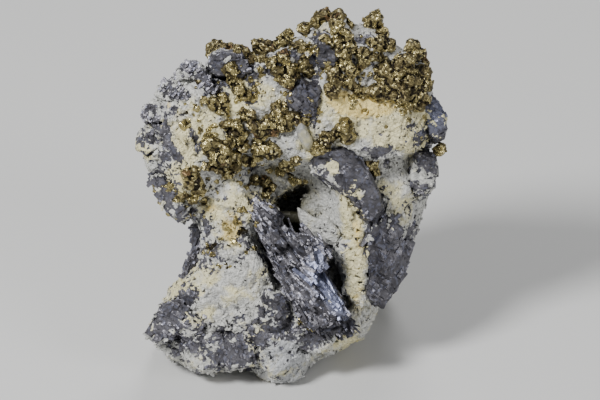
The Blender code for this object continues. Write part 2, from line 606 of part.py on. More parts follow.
def build_groups(parts, cutters, floor, rock, blocks, seats):
    """The chalcopyrite groups, each cut back from the rock, the blocks and the groups before it."""
    brassy = material_of(BRASSY)
    ground_shape = bmesh.new()
    for obj in [rock, *blocks]:
        ground_shape.from_mesh(obj.data)
    ground = BVHTree.FromBMesh(ground_shape)
    ground_shape.free()
    cutting = [grown(rock, GAP, cutters), *seats]
    for number, (name, crystals) in enumerate(CRYSTAL_GROUPS.items()):
        rng = random.Random(number)
        shape = bmesh.new()
        placed = []
        for across, up, width in crystals:
            centre = seat_of(across, up, width, ground)
            add_crystal(shape, centre, width, rng)
            if placed:
                nearest, size = min(placed, key=lambda other: (other[0] - centre).length)
                if (nearest - centre).length > ROOTED_WITHIN * (width + size) * MM:
                    add_root(shape, nearest, centre, ROOT_SHARE * min(width, size) * MM)
            placed.append((centre, width))
        group = object_of(shape, "chalcopyrite_" + name, parts, brassy)
        seat = grown(group, GAP, cutters)
        for body in (group, seat):
            boolean(body, floor, "DIFFERENCE", overlapping=True)
        for other in cutting:
            if near(group, other):
                boolean(group, other, "DIFFERENCE")
        cutting.append(seat)
        for piece in split(group, parts):
            thin_out(piece, CRYSTAL_TRIANGLES * len(crystals))


def split(group, parts):
    """Makes each separate body of a group an object of its own, and leaves out the smallest crumbs."""
    shape = bmesh.new()
    shape.from_mesh(group.data)
    pieces = []
    for body in islands(shape):
        shape.faces.index_update()
        kept = {face.index for face in body}
        single = shape.copy()
        single.faces.ensure_lookup_table()
        others = [face for face in single.faces if face.index not in kept]
        bmesh.ops.delete(single, geom=others, context="FACES")
        if single.calc_volume() < SMALLEST_GROUP * MM ** 3:
            single.free()
            continue
        name = group.name if not pieces else f"{group.name}_{len(pieces) + 1}"
        pieces.append((name, single))
    shape.free()
    material = group.data.materials[0]
    bpy.data.objects.remove(group)
    return [object_of(single, name, parts, material) for name, single in pieces]


def centre_over_base(parts):
    """Moves every piece so that the origin is under the middle of the whole, at its lowest level."""
    places = [point.co for obj in parts.objects for point in obj.data.vertices]
    low = Vector([min(place[axis] for place in places) for axis in range(3)])
    high = Vector([max(place[axis] for place in places) for axis in range(3)])
    shift = -Vector(((low.x + high.x) / 2, (low.y + high.y) / 2, low.z))
    for obj in parts.objects:
        obj.data.transform(Matrix.Translation(shift))
    print("shift in mm:", [round(part / MM, 2) for part in shift])


def main():
    clear_scene()
    parts = collection_named("chalcopyrite_specimen")
    cutters = collection_named("cutters")
    cutters.hide_render = True
    floor = floor_block(cutters)
    rock = build_rock(parts, cutters, floor)
    blocks, seats = build_blocks(parts, cutters, floor)
    build_groups(parts, cutters, floor, rock, blocks, seats)
    for seat in seats:
        boolean(rock, seat, "DIFFERENCE")
    thin_out(rock, SEATED_ROCK_TRIANGLES)
    level_base(rock)
    keep_largest(rock)
    centre_over_base(parts)


main()
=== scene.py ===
"""Finishes the chalcopyrite specimen: brassy crystals and lead-grey galena on broken, stained quartz.

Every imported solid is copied, made fine and broken into the facets, steps and pits of its mineral. Small
quartz points, cleavage chips and chalcopyrite grains then grow on it. Sizes are in millimetres where a
name doesn't say otherwise.
"""

import itertools
import logging
import math
from collections.abc import Callable
from dataclasses import dataclass, field
from enum import Enum

import bpy
import numpy as np
from mathutils import Matrix, Vector
from mathutils.bvhtree import BVHTree
from mathutils.kdtree import KDTree


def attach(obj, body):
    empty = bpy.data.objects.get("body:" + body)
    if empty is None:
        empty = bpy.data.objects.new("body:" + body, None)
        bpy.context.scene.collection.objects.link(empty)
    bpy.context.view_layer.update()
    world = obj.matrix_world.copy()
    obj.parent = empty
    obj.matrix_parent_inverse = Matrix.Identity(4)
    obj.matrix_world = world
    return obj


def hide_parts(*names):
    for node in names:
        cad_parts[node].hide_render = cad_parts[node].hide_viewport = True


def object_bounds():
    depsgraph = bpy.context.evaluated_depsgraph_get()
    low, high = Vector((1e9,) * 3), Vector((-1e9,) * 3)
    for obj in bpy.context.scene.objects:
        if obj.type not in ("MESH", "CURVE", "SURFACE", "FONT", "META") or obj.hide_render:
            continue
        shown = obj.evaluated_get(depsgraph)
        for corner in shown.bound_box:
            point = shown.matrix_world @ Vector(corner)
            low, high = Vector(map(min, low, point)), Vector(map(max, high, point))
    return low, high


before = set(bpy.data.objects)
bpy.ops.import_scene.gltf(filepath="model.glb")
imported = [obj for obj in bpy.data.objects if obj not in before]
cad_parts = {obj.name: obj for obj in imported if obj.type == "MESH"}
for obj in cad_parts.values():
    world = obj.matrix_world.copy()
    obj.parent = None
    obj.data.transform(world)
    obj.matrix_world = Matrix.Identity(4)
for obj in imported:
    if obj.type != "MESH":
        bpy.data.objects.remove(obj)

MM = 0.001
CAD_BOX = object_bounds()

# How far out of the specimen the eye's lines of sight start, and how wide a region with one set
# of galena axes is.
FAR_RELIEF = 60.0
REGION = 9.0
# The ribs of the porous ridge: their room across and up, the share that is open, and the depth.
RIB_CELLS = (1.7, 1.1)
RIB_SHARE = 0.7
RIB_DEPTH = 1.6
# How far a chip's corner may stand in the air, and how far its nearest face rises.
MOST_STANDING = 0.8
SQUARE_RISE = (-0.1, 0.22)
# The level over which a surface is galena.
GALENA_LINE = 0.5

# The steps that mix a cell's three numbers into one that looks random.
CELL_SPAN = 8192
HASH_FACTORS = (73856093, 19349663, 83492791)
SEED_FACTOR = 2654435761
HASH_STEPS = ((16, 0x7FEB352D), (15, 0x846CA68B))
WORD = 0xFFFFFFFF
LUMP_SEED = 5
STAIN_SEED = 21
QUARTZ_SEED = 81
CHIP_SEED = 82
GRAIN_SEED = 83
SPRINKLE_SEED = 84
PIT_SEED = 90
RIB_SEED = 95

Colour = tuple[float, float, float, float]
Triple = tuple[float, float, float]
Sockets = list[bpy.types.NodeSocket]
Array = np.ndarray
Thing = bpy.types.Object

log = logging.getLogger("chalcopyrite_specimen")


@dataclass(frozen=True)
class SeenView:
    """How the camera's eye sees the specimen: along +Y, and down by the tilt.

    "Across" and "up" are square to that line of sight, and "relief" runs along it, out of the
    specimen's leaning face. All three are counted from the foot of the front lobe.
    """

    tilt: float = math.radians(30.0)
    face_slope: float = 0.325
    foot: Triple = (-0.95, -22.52, 0.0)

    def toward_eye(self) -> Array:
        """The unit vector from the specimen to the eye."""
        return np.array((0.0, -math.cos(self.tilt), math.sin(self.tilt)))

    def upward(self) -> Array:
        """The unit vector that looks upright to the eye."""
        return np.array((0.0, math.sin(self.tilt), math.cos(self.tilt)))

    def basis(self) -> Array:
        """The eye's across, up and outward directions, as the columns of a turn."""
        return np.stack([np.array((1.0, 0.0, 0.0)), self.upward(), self.toward_eye()], axis=1)

    def read(self, points: Array) -> tuple[Array, Array, Array]:
        """Tells where points stand to the eye.

        Args:
            points: places in metres, one per row.

        Returns:
            Across, up and relief, in millimetres.
        """
        local = points / MM - np.array(self.foot)
        up = local @ self.upward()
        return local[:, 0], up, local @ self.toward_eye() - self.face_slope * up

    def place(self, across: float, up: float, relief: float) -> Vector:
        """Finds a place from where it stands to the eye.

        Args:
            across: how far right of the foot it looks.
            up: how far above the foot it looks.
            relief: how far it stands out of the leaning face.

        Returns:
            The place, in metres.
        """
        out = self.face_slope * up + relief
        local = np.array((across, 0.0, 0.0)) + up * self.upward() + out * self.toward_eye()
        return Vector((local + np.array(self.foot)) * MM)


SEEN = SeenView()


class Zone(Enum):
    """What a stretch of the specimen's surface is made of or looks like."""

    GALENA = "galena"
    CREAM = "cream"
    ORANGE = "orange"
    GLASSY = "glassy"
    SMOOTH = "smooth"
    # The hollow zone marks where shade is painted deep in the hollow and its slits.
    HOLLOW = "hollow"
    # The blue zone marks galena's bluish tint with painted sheen on the cleavage faces.
    BLUE = "blue"
    POROUS = "porous"
    DARK = "dark"
    SPRINKLE = "sprinkle"


@dataclass(frozen=True)
class Dab:
    """One soft oval of a zone, in the eye's across and up.

    Args:
        across, up: its middle.
        wide, high: its half width and half height.
        strength: how much it adds to its zone, or takes away if negative.
        turn: how far it is turned, in degrees.
    """

    across: float
    up: float
    wide: float
    high: float
    strength: float = 1.0
    turn: float = 0.0

    def weight(self, across: Array, up: Array) -> Array:
        """Weighs places by how far inside the oval they are.

        Args:
            across: how far right of the foot each place looks.
            up: how far above the foot it looks.

        Returns:
            The dab's strength there, falling off past its half width and height.
        """
        turn = math.radians(self.turn)
        along = (across - self.across) * math.cos(turn) + (up - self.up) * math.sin(turn)
        over = (up - self.up) * math.cos(turn) - (across - self.across) * math.sin(turn)
        far = (along / self.wide) ** 2 + (over / self.high) ** 2
        return self.strength * np.exp(-0.7 * far**1.5)


DAB_ROWS: dict[Zone, tuple[tuple[float, ...], ...]] = {
    Zone.GALENA: (
        (-25, 63, 8, 10, -0.14), (-20, 75, 1.6, 4.6, 0.8, 38), (-25, 79, 3.6, 3, 0.7),
        (-26.5, 73, 4.4, 1.5, 0.7, -35), (-30, 72, 3, 1.4, 0.6, -30), (-32, 67.4, 4, 3, 0.5, 20),
        (-32.4, 62.6, 4, 2.6, 0.5), (-35, 60.6, 2.4, 2, 0.6), (-34, 57.6, 5, 1.2, 0.5, -8),
        (-28.4, 59, 1, 4.4, 0.7, 35), (-23, 62, 1, 3, 0.7, 30), (-22.4, 57.6, 2.4, 0.9, 0.7, 45),
        (-31, 51, 3, 6, 0.45, -20), (-27, 45, 5, 3, 0.5, -40), (-25.6, 66, 1.4, 2.4, 0.5, 30),
        (-14, 79.6, 5, 3.4, 0.5), (-9.6, 76.6, 2.6, 4, 0.45), (-8.6, 71.4, 1.6, 2.4, 0.6),
        (-16, 74, 2.4, 1.4, 0.4), (-3.4, 78.4, 2, 2.4, 0.5), (1.4, 81, 3.4, 2.4, 0.6),
        (5, 74, 3.4, 3.4, 0.5), (7.4, 80, 3, 3, 0.6), (11, 80.6, 3, 2.4, 0.4), (8, 86, 2.6, 1.6, 0.5),
        (3, 69.4, 3, 3.4, 0.65), (6, 67.6, 2, 3, 0.6), (17.4, 80, 3, 3, 0.5), (19, 85.6, 2.6, 1.2, 0.6),
        (18.6, 76, 3.4, 1.6, 0.5), (12.6, 72.6, 2, 2, 0.5), (9.4, 71, 1.6, 7, -0.7),
        (22, 67, 12, 6, -0.9), (29.4, 66, 2.4, 2, 0.5), (28.6, 63.6, 2.4, 2, 0.9),
        (24, 58.4, 4, 1.4, 0.7), (22.6, 62, 1.4, 1, 0.8), (35, 62, 4, 7, 0.6), (23, 55.6, 4, 2, 0.4),
        (17, 62.4, 2, 1, 0.4), (27, 44.6, 2.6, 8, -0.4), (31.4, 55, 2.4, 3, -0.3), (30, 40, 4, 10, 0.3),
        (25, 32, 6, 10, 0.6, -10), (27, 24, 5, 5, 0.5), (12, 47, 5.4, 8, -0.7, -25),
        (18, 32, 2.6, 12, -0.8), (2, 54, 8, 6, -0.5), (-13, 50, 8, 5, -0.1), (-10, 35, 2.6, 6, 0.2),
        (-20, 40, 2, 2, 0.3), (-17, 33, 2, 3, 0.2), (-15, 36, 7, 9, 0.16),
        (-23.4, 31, 3.4, 7, 0.35, -20), (-28, 20, 5, 2, 0.7, 25), (-31, 14.6, 6, 5, 0.48),
        (-24, 10, 7, 5, 0.44), (-12.6, 6.8, 3.6, 1.8, 0.9, -10), (-14, 8, 7, 4, 0.48),
        (-20.6, 15.6, 3.2, 1.6, 0.4, 40), (-12.4, 16.4, 2.4, 1.2, 0.4, 45), (-14, 23, 8, 6, -0.5, 20),
        (-16, 18.6, 7, 3.4, -0.22, 30), (-4.5, 30, 1.4, 6, 0.5, 25), (-6, 20, 3.4, 5, 0.35),
        (-6.4, 12, 4, 3, 0.45), (-2, 6, 6, 4, -0.15), (8, 12, 5, 4, 0.4), (14, 9, 7, 3, -0.6, 25),
        (0, 16, 4, 5, 0.45), (-3, 36, 3, 8, 0.3), (11.2, 54.3, 1.0, 1.2, -2.0), (-12, 62, 8, 8, -0.1),
    ),
    Zone.CREAM: (
        (-25, 66, 4, 5, 0.5), (-30, 64.6, 3, 1.4, 0.5), (-24, 60, 6, 3, 0.7), (-19, 64, 4, 4, 0.5),
        (-36, 58, 2, 3, 0.5), (-27, 51, 4, 4, 0.7), (-31, 47, 2, 4, 0.3), (-16, 72, 3, 3, 0.3),
        (-9, 75, 4, 3, 0.7), (-5, 71, 4, 3, 0.5), (-13, 68, 3, 3, 0.5), (8, 70, 2, 3, 0.5),
        (25, 66, 14, 6, 0.75), (30, 61, 7, 3, 0.7), (16, 46, 3, 6, 0.7), (16.4, 38, 2.6, 8, 0.75),
        (17.4, 28, 2.6, 9, 0.65), (-8, 45, 5, 4, 0.6), (-19.6, 44, 3.4, 2.4, 0.7), (-15, 38, 4, 5, 0.6),
        (-22, 26, 6, 3, 0.35, 30), (-29, 23, 4, 3, 0.6), (-22, 17, 6, 2, 0.4, 30), (-14, 24, 7, 3, 0.2),
        (10, 86, 3, 3, 0.4), (4, 60, 2.4, 3, 0.35), (14, 9, 7, 3, 0.35, 25), (28, 45, 3, 8, 0.2),
        (11.2, 54.3, 1.4, 1.6, 0.9),
    ),
    Zone.ORANGE: (
        (14, 70.4, 4.4, 3, 1.1), (20, 68, 5, 2.6, 0.85), (26, 68.6, 3, 2, 0.5),
        (15.4, 47.6, 2, 2.4, 0.5), (17.4, 38, 1.6, 6, 0.7), (17.6, 22, 1.4, 5, 0.6),
        (-19.5, 44, 2.6, 1.4, 0.7), (-8, 43.8, 2.4, 2, 0.45), (-14, 39, 3.4, 4.4, 1.0),
        (-9.5, 30, 1.6, 2, 0.4), (-26, 52, 2.4, 3, 0.55), (-9, 74.6, 2, 2.4, 0.4),
        (32, 61, 4, 1.6, 0.45), (-24, 61, 4, 2, 0.3), (-29, 69, 1, 1.4, 0.8),
    ),
    Zone.GLASSY: (
        (-1, 5, 6, 6, 0.9), (-5, 14, 7, 5, 0.5), (-18, 23, 6, 3, 0.3), (-6, 26, 4, 4, 0.35),
        (4, 61.5, 3, 4, 0.6), (9, 46, 6, 7, 0.3), (12, 9, 8, 4, 0.3),
    ),
    Zone.SMOOTH: (
        (9, 46, 6.5, 8, 0.9, -25), (9.4, 71, 2, 7, 0.6), (-14, 46, 8, 5, 0.2), (4, 56, 5, 5, 0.4),
        (-4, 40, 4, 4, 0.6, 30), (12, 55, 5, 4, 0.6), (18, 50, 4, 5, 0.2), (11, 22.4, 2.2, 6.4, 1.2, 38),
        (7.2, 32.6, 3.2, 3.4, 1.2), (-3.4, 37.4, 3.4, 2.4, 0.9, 30), (0.6, 31, 2.4, 2.4, 0.7),
    ),
    Zone.HOLLOW: (
        (1.6, 43.6, 4.6, 8, 1.0, -20), (13.6, 25.6, 1.6, 6, 0.8, 28), (-4.6, 31.6, 1.4, 8.6, 0.8, 26),
    ),
    Zone.BLUE: (
        (7.6, 32.6, 2.4, 2.8, 0.7), (10.6, 22.6, 2.4, 6.6, 0.9, 38), (6, 28, 2, 4, 0.3, 38),
        (36, 67, 4, 5, 0.5), (-30, 15, 4, 4, 0.15), (14, 52, 3, 3, 0.2),
    ),
    Zone.POROUS: (
        (16.8, 38, 2.4, 7, 0.8), (17, 28, 2.4, 8, 1.0), (11.6, 37, 3, 2, 0.6), (25, 61, 6, 3, 0.3),
    ),
    Zone.DARK: (
        (23, 34, 5, 11, 0.9, -10), (27, 24, 4, 6, 0.8), (-4, 39, 3.4, 5, 0.8, 30), (2, 34, 3, 3, 0.5),
        (8, 14.4, 6, 3, 0.9), (15, 15, 3, 2.6, 0.8), (19, 44, 3, 5, 0.5), (35, 58, 4, 6, 0.35),
        (-20, 75, 2, 5, 0.3, 38), (5, 74, 4, 4, 0.3), (-3, 21, 3, 5, 0.4),
    ),
    Zone.SPRINKLE: (
        (10, 79, 8, 8, 0.55), (24, 76, 7, 6, 0.5), (-4, 74, 7, 6, 0.4), (-15, 60, 9, 6, 0.6),
        (-13, 38, 3.4, 4, 1.6), (-19.5, 34, 1.4, 2.2, 1.8), (-16, 31, 2, 2, 0.8), (-26, 47, 5, 4, 0.6),
        (3, 15, 2, 2, 0.5), (-1, 49, 4, 3, 0.5), (30, 66, 5, 3, 0.4), (-10, 68, 8, 5, 0.5),
        (-24, 66, 3, 8, 0.25),
    ),
}
ZONES = {zone: tuple(Dab(*row) for row in rows) for zone, rows in DAB_ROWS.items()}


def hashed(cells: Array, seed: int) -> Array:
    """Gives each cell of a grid its own number from 0 to 1, the same in every run.

    Args:
        cells: whole numbers, three in the last axis.
        seed: which set of numbers to give.

    Returns:
        One number for each cell.
    """
    mixed = np.full(cells.shape[:-1], seed * SEED_FACTOR)
    for axis, factor in enumerate(HASH_FACTORS):
        mixed = mixed ^ (cells[..., axis] * factor)
    mixed = (mixed & WORD).astype(np.uint64)
    for shift, factor in HASH_STEPS:
        mixed = ((mixed ^ (mixed >> np.uint64(shift))) * np.uint64(factor)) & np.uint64(WORD)
    return (mixed ^ (mixed >> np.uint64(16))).astype(float) / WORD


def hashed_triple(cells: Array, seed: int) -> Array:
    """Gives each cell of a grid its own three numbers from 0 to 1."""
    return np.stack([hashed(cells, seed + axis) for axis in range(3)], axis=1)


def cell_keys(cells: Array) -> Array:
    """Gives each cell of a grid one whole number of its own."""
    return (cells[:, 0] * CELL_SPAN + cells[:, 1]) * CELL_SPAN + cells[:, 2]


def noise(points: Array, seed: int) -> Array:
    """Gives smooth noise with one swell to each unit of length.

    Args:
        points: places, in units of the swells' size.
        seed: which noise.

    Returns:
        From 0 to 1 at each place.
    """
    base = np.floor(points).astype(np.int64)
    part = points - base
    part = part * part * (3 - 2 * part)
    total = np.zeros(len(points))
    for corner in itertools.product((0, 1), repeat=3):
        weight = np.prod(np.where(np.array(corner) > 0, part, 1 - part), axis=1)
        total += weight * hashed(base + np.array(corner), seed)
    return total


def layered_noise(points: Array, size: float, layers: int, seed: int) -> Array:
    """Adds up noise of several sizes, each half as wide and half as strong as the last.

    Args:
        points: places, in the same unit as the size.
        size: the width of the broadest swells.
        layers: how many sizes there are.
        seed: which noise.

    Returns:
        From 0 to 1 at each place.
    """
    total = np.zeros(len(points))
    share = 0.0
    for layer in range(layers):
        total += noise(points / size * 2**layer, seed + layer) / 2**layer
        share += 1 / 2**layer
    return total / share


def nearest_cells(points: Array, seed: int) -> tuple[Array, Array]:
    """Finds the cell of an uneven, crystal-like packing that each point lies in.

    Args:
        points: places, in units of the cells' size.
        seed: which packing.

    Returns:
        Each point's cell, as three whole numbers, and its distance from the cell's middle.
    """
    base = np.floor(points).astype(np.int64)
    nearest = np.full(len(points), np.inf)
    found = base.copy()
    for step in itertools.product((-1, 0, 1), repeat=3):
        cells = base + np.array(step)
        away = ((points - (cells + hashed_triple(cells, seed))) ** 2).sum(axis=1)
        closer = away < nearest
        nearest = np.where(closer, away, nearest)
        found[closer] = cells[closer]
    return found, np.sqrt(nearest)


def unit(vectors: Array) -> Array:
    """Scales vectors to a length of one."""
    return vectors / np.maximum(np.linalg.norm(vectors, axis=1, keepdims=True), 1e-9)


def group_sums(groups: Array, vectors: Array, count: int = 0) -> Array:
    """Adds up the vectors of each group, for at least the stated number of groups."""
    return np.stack([np.bincount(groups, vectors[:, axis], count) for axis in range(3)], axis=1)


@dataclass(frozen=True)
class Facets:
    """How a surface breaks into small flat faces.

    Args:
        size: the faces' size.
        tilt: how far a face leans at random, as a share of its normal.
        reach: how far a point may be moved to lie in its face.
        seed: which packing.
        share: how much of the way a point goes to its face.
    """

    size: float
    tilt: float
    reach: float
    seed: int
    share: float

    def flatten(
        self, points: Array, normals: Array, axes: Array, hold: Array
    ) -> Array:
        """Moves points into the planes of their faces.

        Args:
            points: places in millimetres.
            normals: the surface's normals there.
            axes: the mineral's axes, as the columns of a turn.
            hold: from 0, where a point goes to its face, to 1, where it stays.

        Returns:
            The new places.
        """
        cells = nearest_cells((points @ axes) / self.size, self.seed)[0]
        _, first, which = np.unique(cell_keys(cells), return_index=True, return_inverse=True)
        middle = group_sums(which, points) / np.bincount(which)[:, None]
        lean = hashed_triple(cells[first], self.seed + 11) - 0.5
        facing = unit(unit(group_sums(which, normals)) + lean * self.tilt * 2)
        face = facing[which]
        off = ((points - middle[which]) * face).sum(axis=1)
        off = np.clip(off, -self.reach, self.reach) * self.share * (1 - hold)
        return points - face * off[:, None]


@dataclass(frozen=True)
class Grain:
    """How a copied solid is refined.

    Args:
        voxel: the spacing of the fine mesh.
        swell: how far the surface grows first, to close the gap round it.
        lumps: the size and height of soft unevenness.
        pits: the size, share and depth of small holes.
        facets: the breaks into flat faces, coarse to fine.
        crust: how far quartz stands above galena on the same surface.
        smooth_angle: the angle, in degrees, over which an edge stays sharp; 0 keeps every edge sharp.
        most_faces: the most triangles, past which the finished mesh is thinned; 0 for no limit.
        crevice_rounds: how broadly the surface is smoothed to find its crevices.
        crevice_depth: the depth that counts as a full crevice.
    """

    voxel: float
    swell: float
    lumps: tuple[float, float]
    pits: tuple[float, float, float]
    facets: tuple[Facets, ...] = ()
    crust: float = 0.0
    smooth_angle: float = 24.0
    most_faces: int = 0
    crevice_rounds: int = 14
    crevice_depth: float = 0.35


def zone_weight(zone: Zone, points: Array, normals: Array) -> Array:
    """Adds up a zone's dabs at places on the surface.

    Args:
        zone: the zone.
        points: places in metres.
        normals: the surface's normals there.

    Returns:
        The weights, fading out where the surface turns its back to the eye.
    """
    across, up, relief = SEEN.read(points)
    total = sum(dab.weight(across, up) for dab in ZONES[zone])
    facing = np.clip(normals @ SEEN.toward_eye() * 2.5 + 1.0, 0, 1) * np.clip(1.6 + relief / 20, 0, 1)
    return total * facing


def keep_values(mesh: bpy.types.Mesh, name: str, values: Array) -> None:
    """Keeps a number for each of a mesh's points.

    Args:
        mesh: the mesh.
        name: the numbers' name, kept already or new.
        values: the numbers.
    """
    held = mesh.attributes.get(name) or mesh.attributes.new(name, "FLOAT", "POINT")
    held.data.foreach_set("value", values.astype(np.float32))


def read_vectors(mesh: bpy.types.Mesh, name: str) -> Array:
    """Reads the "co" or the "normal" of each vertex.

    Args:
        mesh: the mesh.
        name: which of the two to read.

    Returns:
        One vector in each row.
    """
    values = np.empty(len(mesh.vertices) * 3, dtype=np.float32)
    mesh.vertices.foreach_get(name, values)
    return values.reshape(-1, 3).astype(float)


class Surface:
    """The places and normals of an object's mesh, and what the zones say there."""

    def __init__(self, obj: Thing) -> None:
        """Reads the object's mesh."""
        self.mesh = obj.data
        self.points = read_vectors(self.mesh, "co")
        self.normals = read_vectors(self.mesh, "normal")
        self.values: dict[str, Array] = {}

    def move_to(self, points: Array) -> None:
        """Moves the points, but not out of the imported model's box.

        Args:
            points: the new places, in metres.
        """
        low, high = (np.array(corner) for corner in CAD_BOX)
        self.points = np.clip(points, low, high)
        self.mesh.vertices.foreach_set("co", self.points.astype(np.float32).ravel())
        self.mesh.update()
        self.normals = read_vectors(self.mesh, "normal")

    def raise_by(self, rise: Array) -> None:
        """Moves each point along its normal by a rise in millimetres."""
        self.move_to(self.points + self.normals * (rise * MM)[:, None])

    def zone(self, zone: Zone) -> Array:
        """Gives how strongly each point belongs to a zone."""
        return zone_weight(zone, self.points, self.normals)

    def crevices(self, rounds: int, full: float) -> Array:
        """Tells how deep each point lies under the smoothed surface round it.

        Args:
            rounds: how often the surface is smoothed, which sets how broad the crevices are.
            full: the depth in millimetres that counts as a full crevice.

        Returns:
            From 0 on ridges to 1 in deep crevices, with flat places at a half.
        """
        edges = np.empty(len(self.mesh.edges) * 2, dtype=np.int32)
        self.mesh.edges.foreach_get("vertices", edges)
        ends = edges.reshape(-1, 2)
        starts, stops = np.concatenate([ends, ends[:, ::-1]]).T
        count = len(self.points)
        neighbours = np.bincount(starts, minlength=count)[:, None]
        smooth = self.points / MM
        for _ in range(rounds):
            smooth = group_sums(starts, smooth[stops], count) / np.maximum(neighbours, 1)
        depth = ((smooth - self.points / MM) * self.normals).sum(axis=1)
        return np.clip(0.5 + 0.5 * depth / full, 0, 1)

    def mark(self, name: str, values: Array) -> None:
        """Stores a number from 0 to 1 for each point, for the materials to read.

        Args:
            name: what the number tells, as the materials call it.
            values: the numbers, which are cut off at 0 and 1.
        """
        self.values[name] = np.clip(values, 0, 1)
        keep_values(self.mesh, name, self.values[name])


Chance = Callable[[Surface], Array]


def laths(points: Array, size: float, width: float, share: float, seed: int) -> Array:
    """Marks straight strips, each across its own cell of an uneven packing.

    Args:
        points: places in millimetres.
        size: the cells' size.
        width: the strips' width.
        share: the share of cells that have a strip.
        seed: which packing.

    Returns:
        From 0 off the strips to 1 on them.
    """
    cells, _ = nearest_cells(points / size, seed)
    away = points - (cells + hashed_triple(cells, seed)) * size
    along = unit(hashed_triple(cells, seed + 20) - 0.5)
    off = np.linalg.norm(away - along * (away * along).sum(axis=1, keepdims=True), axis=1)
    present = hashed(cells, seed + 30) < share
    return np.where(present, np.clip((width - off) / (0.4 * width) + 0.5, 0, 1), 0)


@dataclass(frozen=True)
class Patchwork:
    """How galena and quartz part a surface between them, in patches, flakes and straight strips.

    Args:
        seed: which noise.
        patch: the size of the broad patches.
        flake: the size of the flakes that the ragged edges are made of.
        patch_share: how much the broad patches count.
        ragged_share: how much the ragged edges count.
        ragged_parts: how much of the ragged edges follows whole flakes, and how much finer noise.
        quartz_strips: the room, width, share and strength of the strips of quartz.
        galena_strips: the same for the strips of galena.
        contrast: how steeply the level goes from quartz to galena.
    """

    seed: int = 40
    patch: float = 8.0
    flake: float = 1.2
    patch_share: float = 0.9
    ragged_share: float = 1.9
    ragged_parts: tuple[float, float] = (0.68, 0.32)
    quartz_strips: tuple[float, float, float, float] = (4.2, 0.6, 0.6, 0.6)
    galena_strips: tuple[float, float, float, float] = (3.4, 0.4, 0.5, 0.5)
    contrast: float = 0.7

    def level(self, surface: Surface, base: float) -> Array:
        """Tells how near each point is to being galena.

        Args:
            surface: the surface.
            base: the level before the zones are counted.

        Returns:
            From 0 to 1: over a half it is galena, and under it quartz.
        """
        places = surface.points / MM
        broad = layered_noise(places, self.patch, 2, self.seed)
        cells, _ = nearest_cells(places / self.flake, self.seed + 3)
        flakes = (cells + hashed_triple(cells, self.seed + 13)) * self.flake
        ragged = self.ragged_parts[0] * layered_noise(flakes, 2.6, 3, self.seed + 7)
        ragged += self.ragged_parts[1] * layered_noise(places, 2.0, 4, self.seed + 9)
        level = base + surface.zone(Zone.GALENA)
        level += (broad - 0.5) * self.patch_share
        level += (ragged - 0.5) * self.ragged_share
        for strips, sign, seed in ((self.quartz_strips, -1, 60), (self.galena_strips, 1, 90)):
            room, width, share, strength = strips
            level += laths(places, room, width, share, self.seed + seed) * strength * sign
        return np.clip((level - GALENA_LINE) * self.contrast + GALENA_LINE, 0, 1)


PATCHWORK = Patchwork()


def deselect_all() -> None:
    """Clears the selection, so that an operator acts on one object alone."""
    bpy.ops.object.select_all(action="DESELECT")


def set_mode(mode: str) -> None:
    """Opens the active object for editing, or closes it."""
    bpy.ops.object.mode_set(mode=mode)


def select_corners(action: str) -> None:
    """Selects or deselects all of the opened mesh."""
    bpy.ops.mesh.select_all(action=action)


def clean_up(merge: float) -> None:
    """Merges corners that lie nearer than the stated metres and turns all faces outward."""
    select_corners("SELECT")
    bpy.ops.mesh.remove_doubles(threshold=merge)
    bpy.ops.mesh.normals_make_consistent(inside=False)


def linked(name: str, data: bpy.types.ID) -> Thing:
    """Puts a mesh or a camera in the scene as an object."""
    made = bpy.data.objects.new(name, data)
    bpy.context.scene.collection.objects.link(made)
    return made


def make_active(obj: Thing) -> None:
    """Selects one object alone and makes it the active one."""
    deselect_all()
    obj.select_set(True)
    bpy.context.view_layer.objects.active = obj


def apply_modifier(obj: Thing, kind: str, **settings: object) -> None:
    """Adds a modifier to an object and applies it.

    Args:
        obj: the object.
        kind: the modifier's type.
        settings: its properties.
    """
    made = obj.modifiers.new(kind.lower(), kind)
    for name, value in settings.items():
        setattr(made, name, value)
    make_active(obj)
    bpy.ops.object.modifier_apply(modifier=made.name)


def copied_solid(node: str, name: str) -> Thing:
    """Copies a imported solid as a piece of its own, with its loose triangles merged.

    Args:
        node: the solid's name.
        name: the new piece's name.

    Returns:
        The new piece, linked to the scene.
    """
    piece = linked(name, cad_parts[node].data.copy())
    piece.data.materials.clear()
    make_active(piece)
    set_mode("EDIT")
    clean_up(1e-6)
    set_mode("OBJECT")
    return piece


def dress_piece(piece: Thing, material: bpy.types.Material) -> None:
    """Gives a piece its material and its body.

    Args:
        piece: the piece.
        material: its finish.
    """
    piece.data.materials.append(material)
    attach(piece, "root")
    log.info("%s: %d faces", piece.name, len(piece.data.polygons))


@dataclass(frozen=True)
class Shape:
    """A small closed crystal shape, as triangles, that is copied many times."""

    corners: Array
    triangles: Array

    @classmethod
    def taken_from(cls, obj: Thing) -> "Shape":
        """Reads an object that is open for editing as triangles, and removes it.

        Args:
            obj: the modelled object.

        Returns:
            Its shape.
        """
        set_mode("OBJECT")
        make_active(obj)
        bpy.ops.object.transform_apply(location=True, rotation=False, scale=False)
        set_mode("EDIT")
        clean_up(1e-5)
        bpy.ops.mesh.quads_convert_to_tris()
        set_mode("OBJECT")
        corners = np.array([corner.co[:] for corner in obj.data.vertices])
        triangles = np.array([face.vertices[:] for face in obj.data.polygons])
        bpy.data.objects.remove(obj)
        return cls(corners, triangles)

    def repeated(self, count: int) -> Array:
        """Gives the triangles of many copies, each on corners of its own."""
        offsets = np.arange(count)[:, None, None] * len(self.corners)
        return (self.triangles[None] + offsets).reshape(-1, 3)


def opened_primitive(add: Callable[..., object], **settings: object) -> Thing:
    """Adds a primitive shape and opens it for editing.

    Args:
        add: the operator that adds it.
        settings: the operator's settings.

    Returns:
        The new object.
    """
    deselect_all()
    add(**settings)
    made = bpy.context.object
    set_mode("EDIT")
    return made


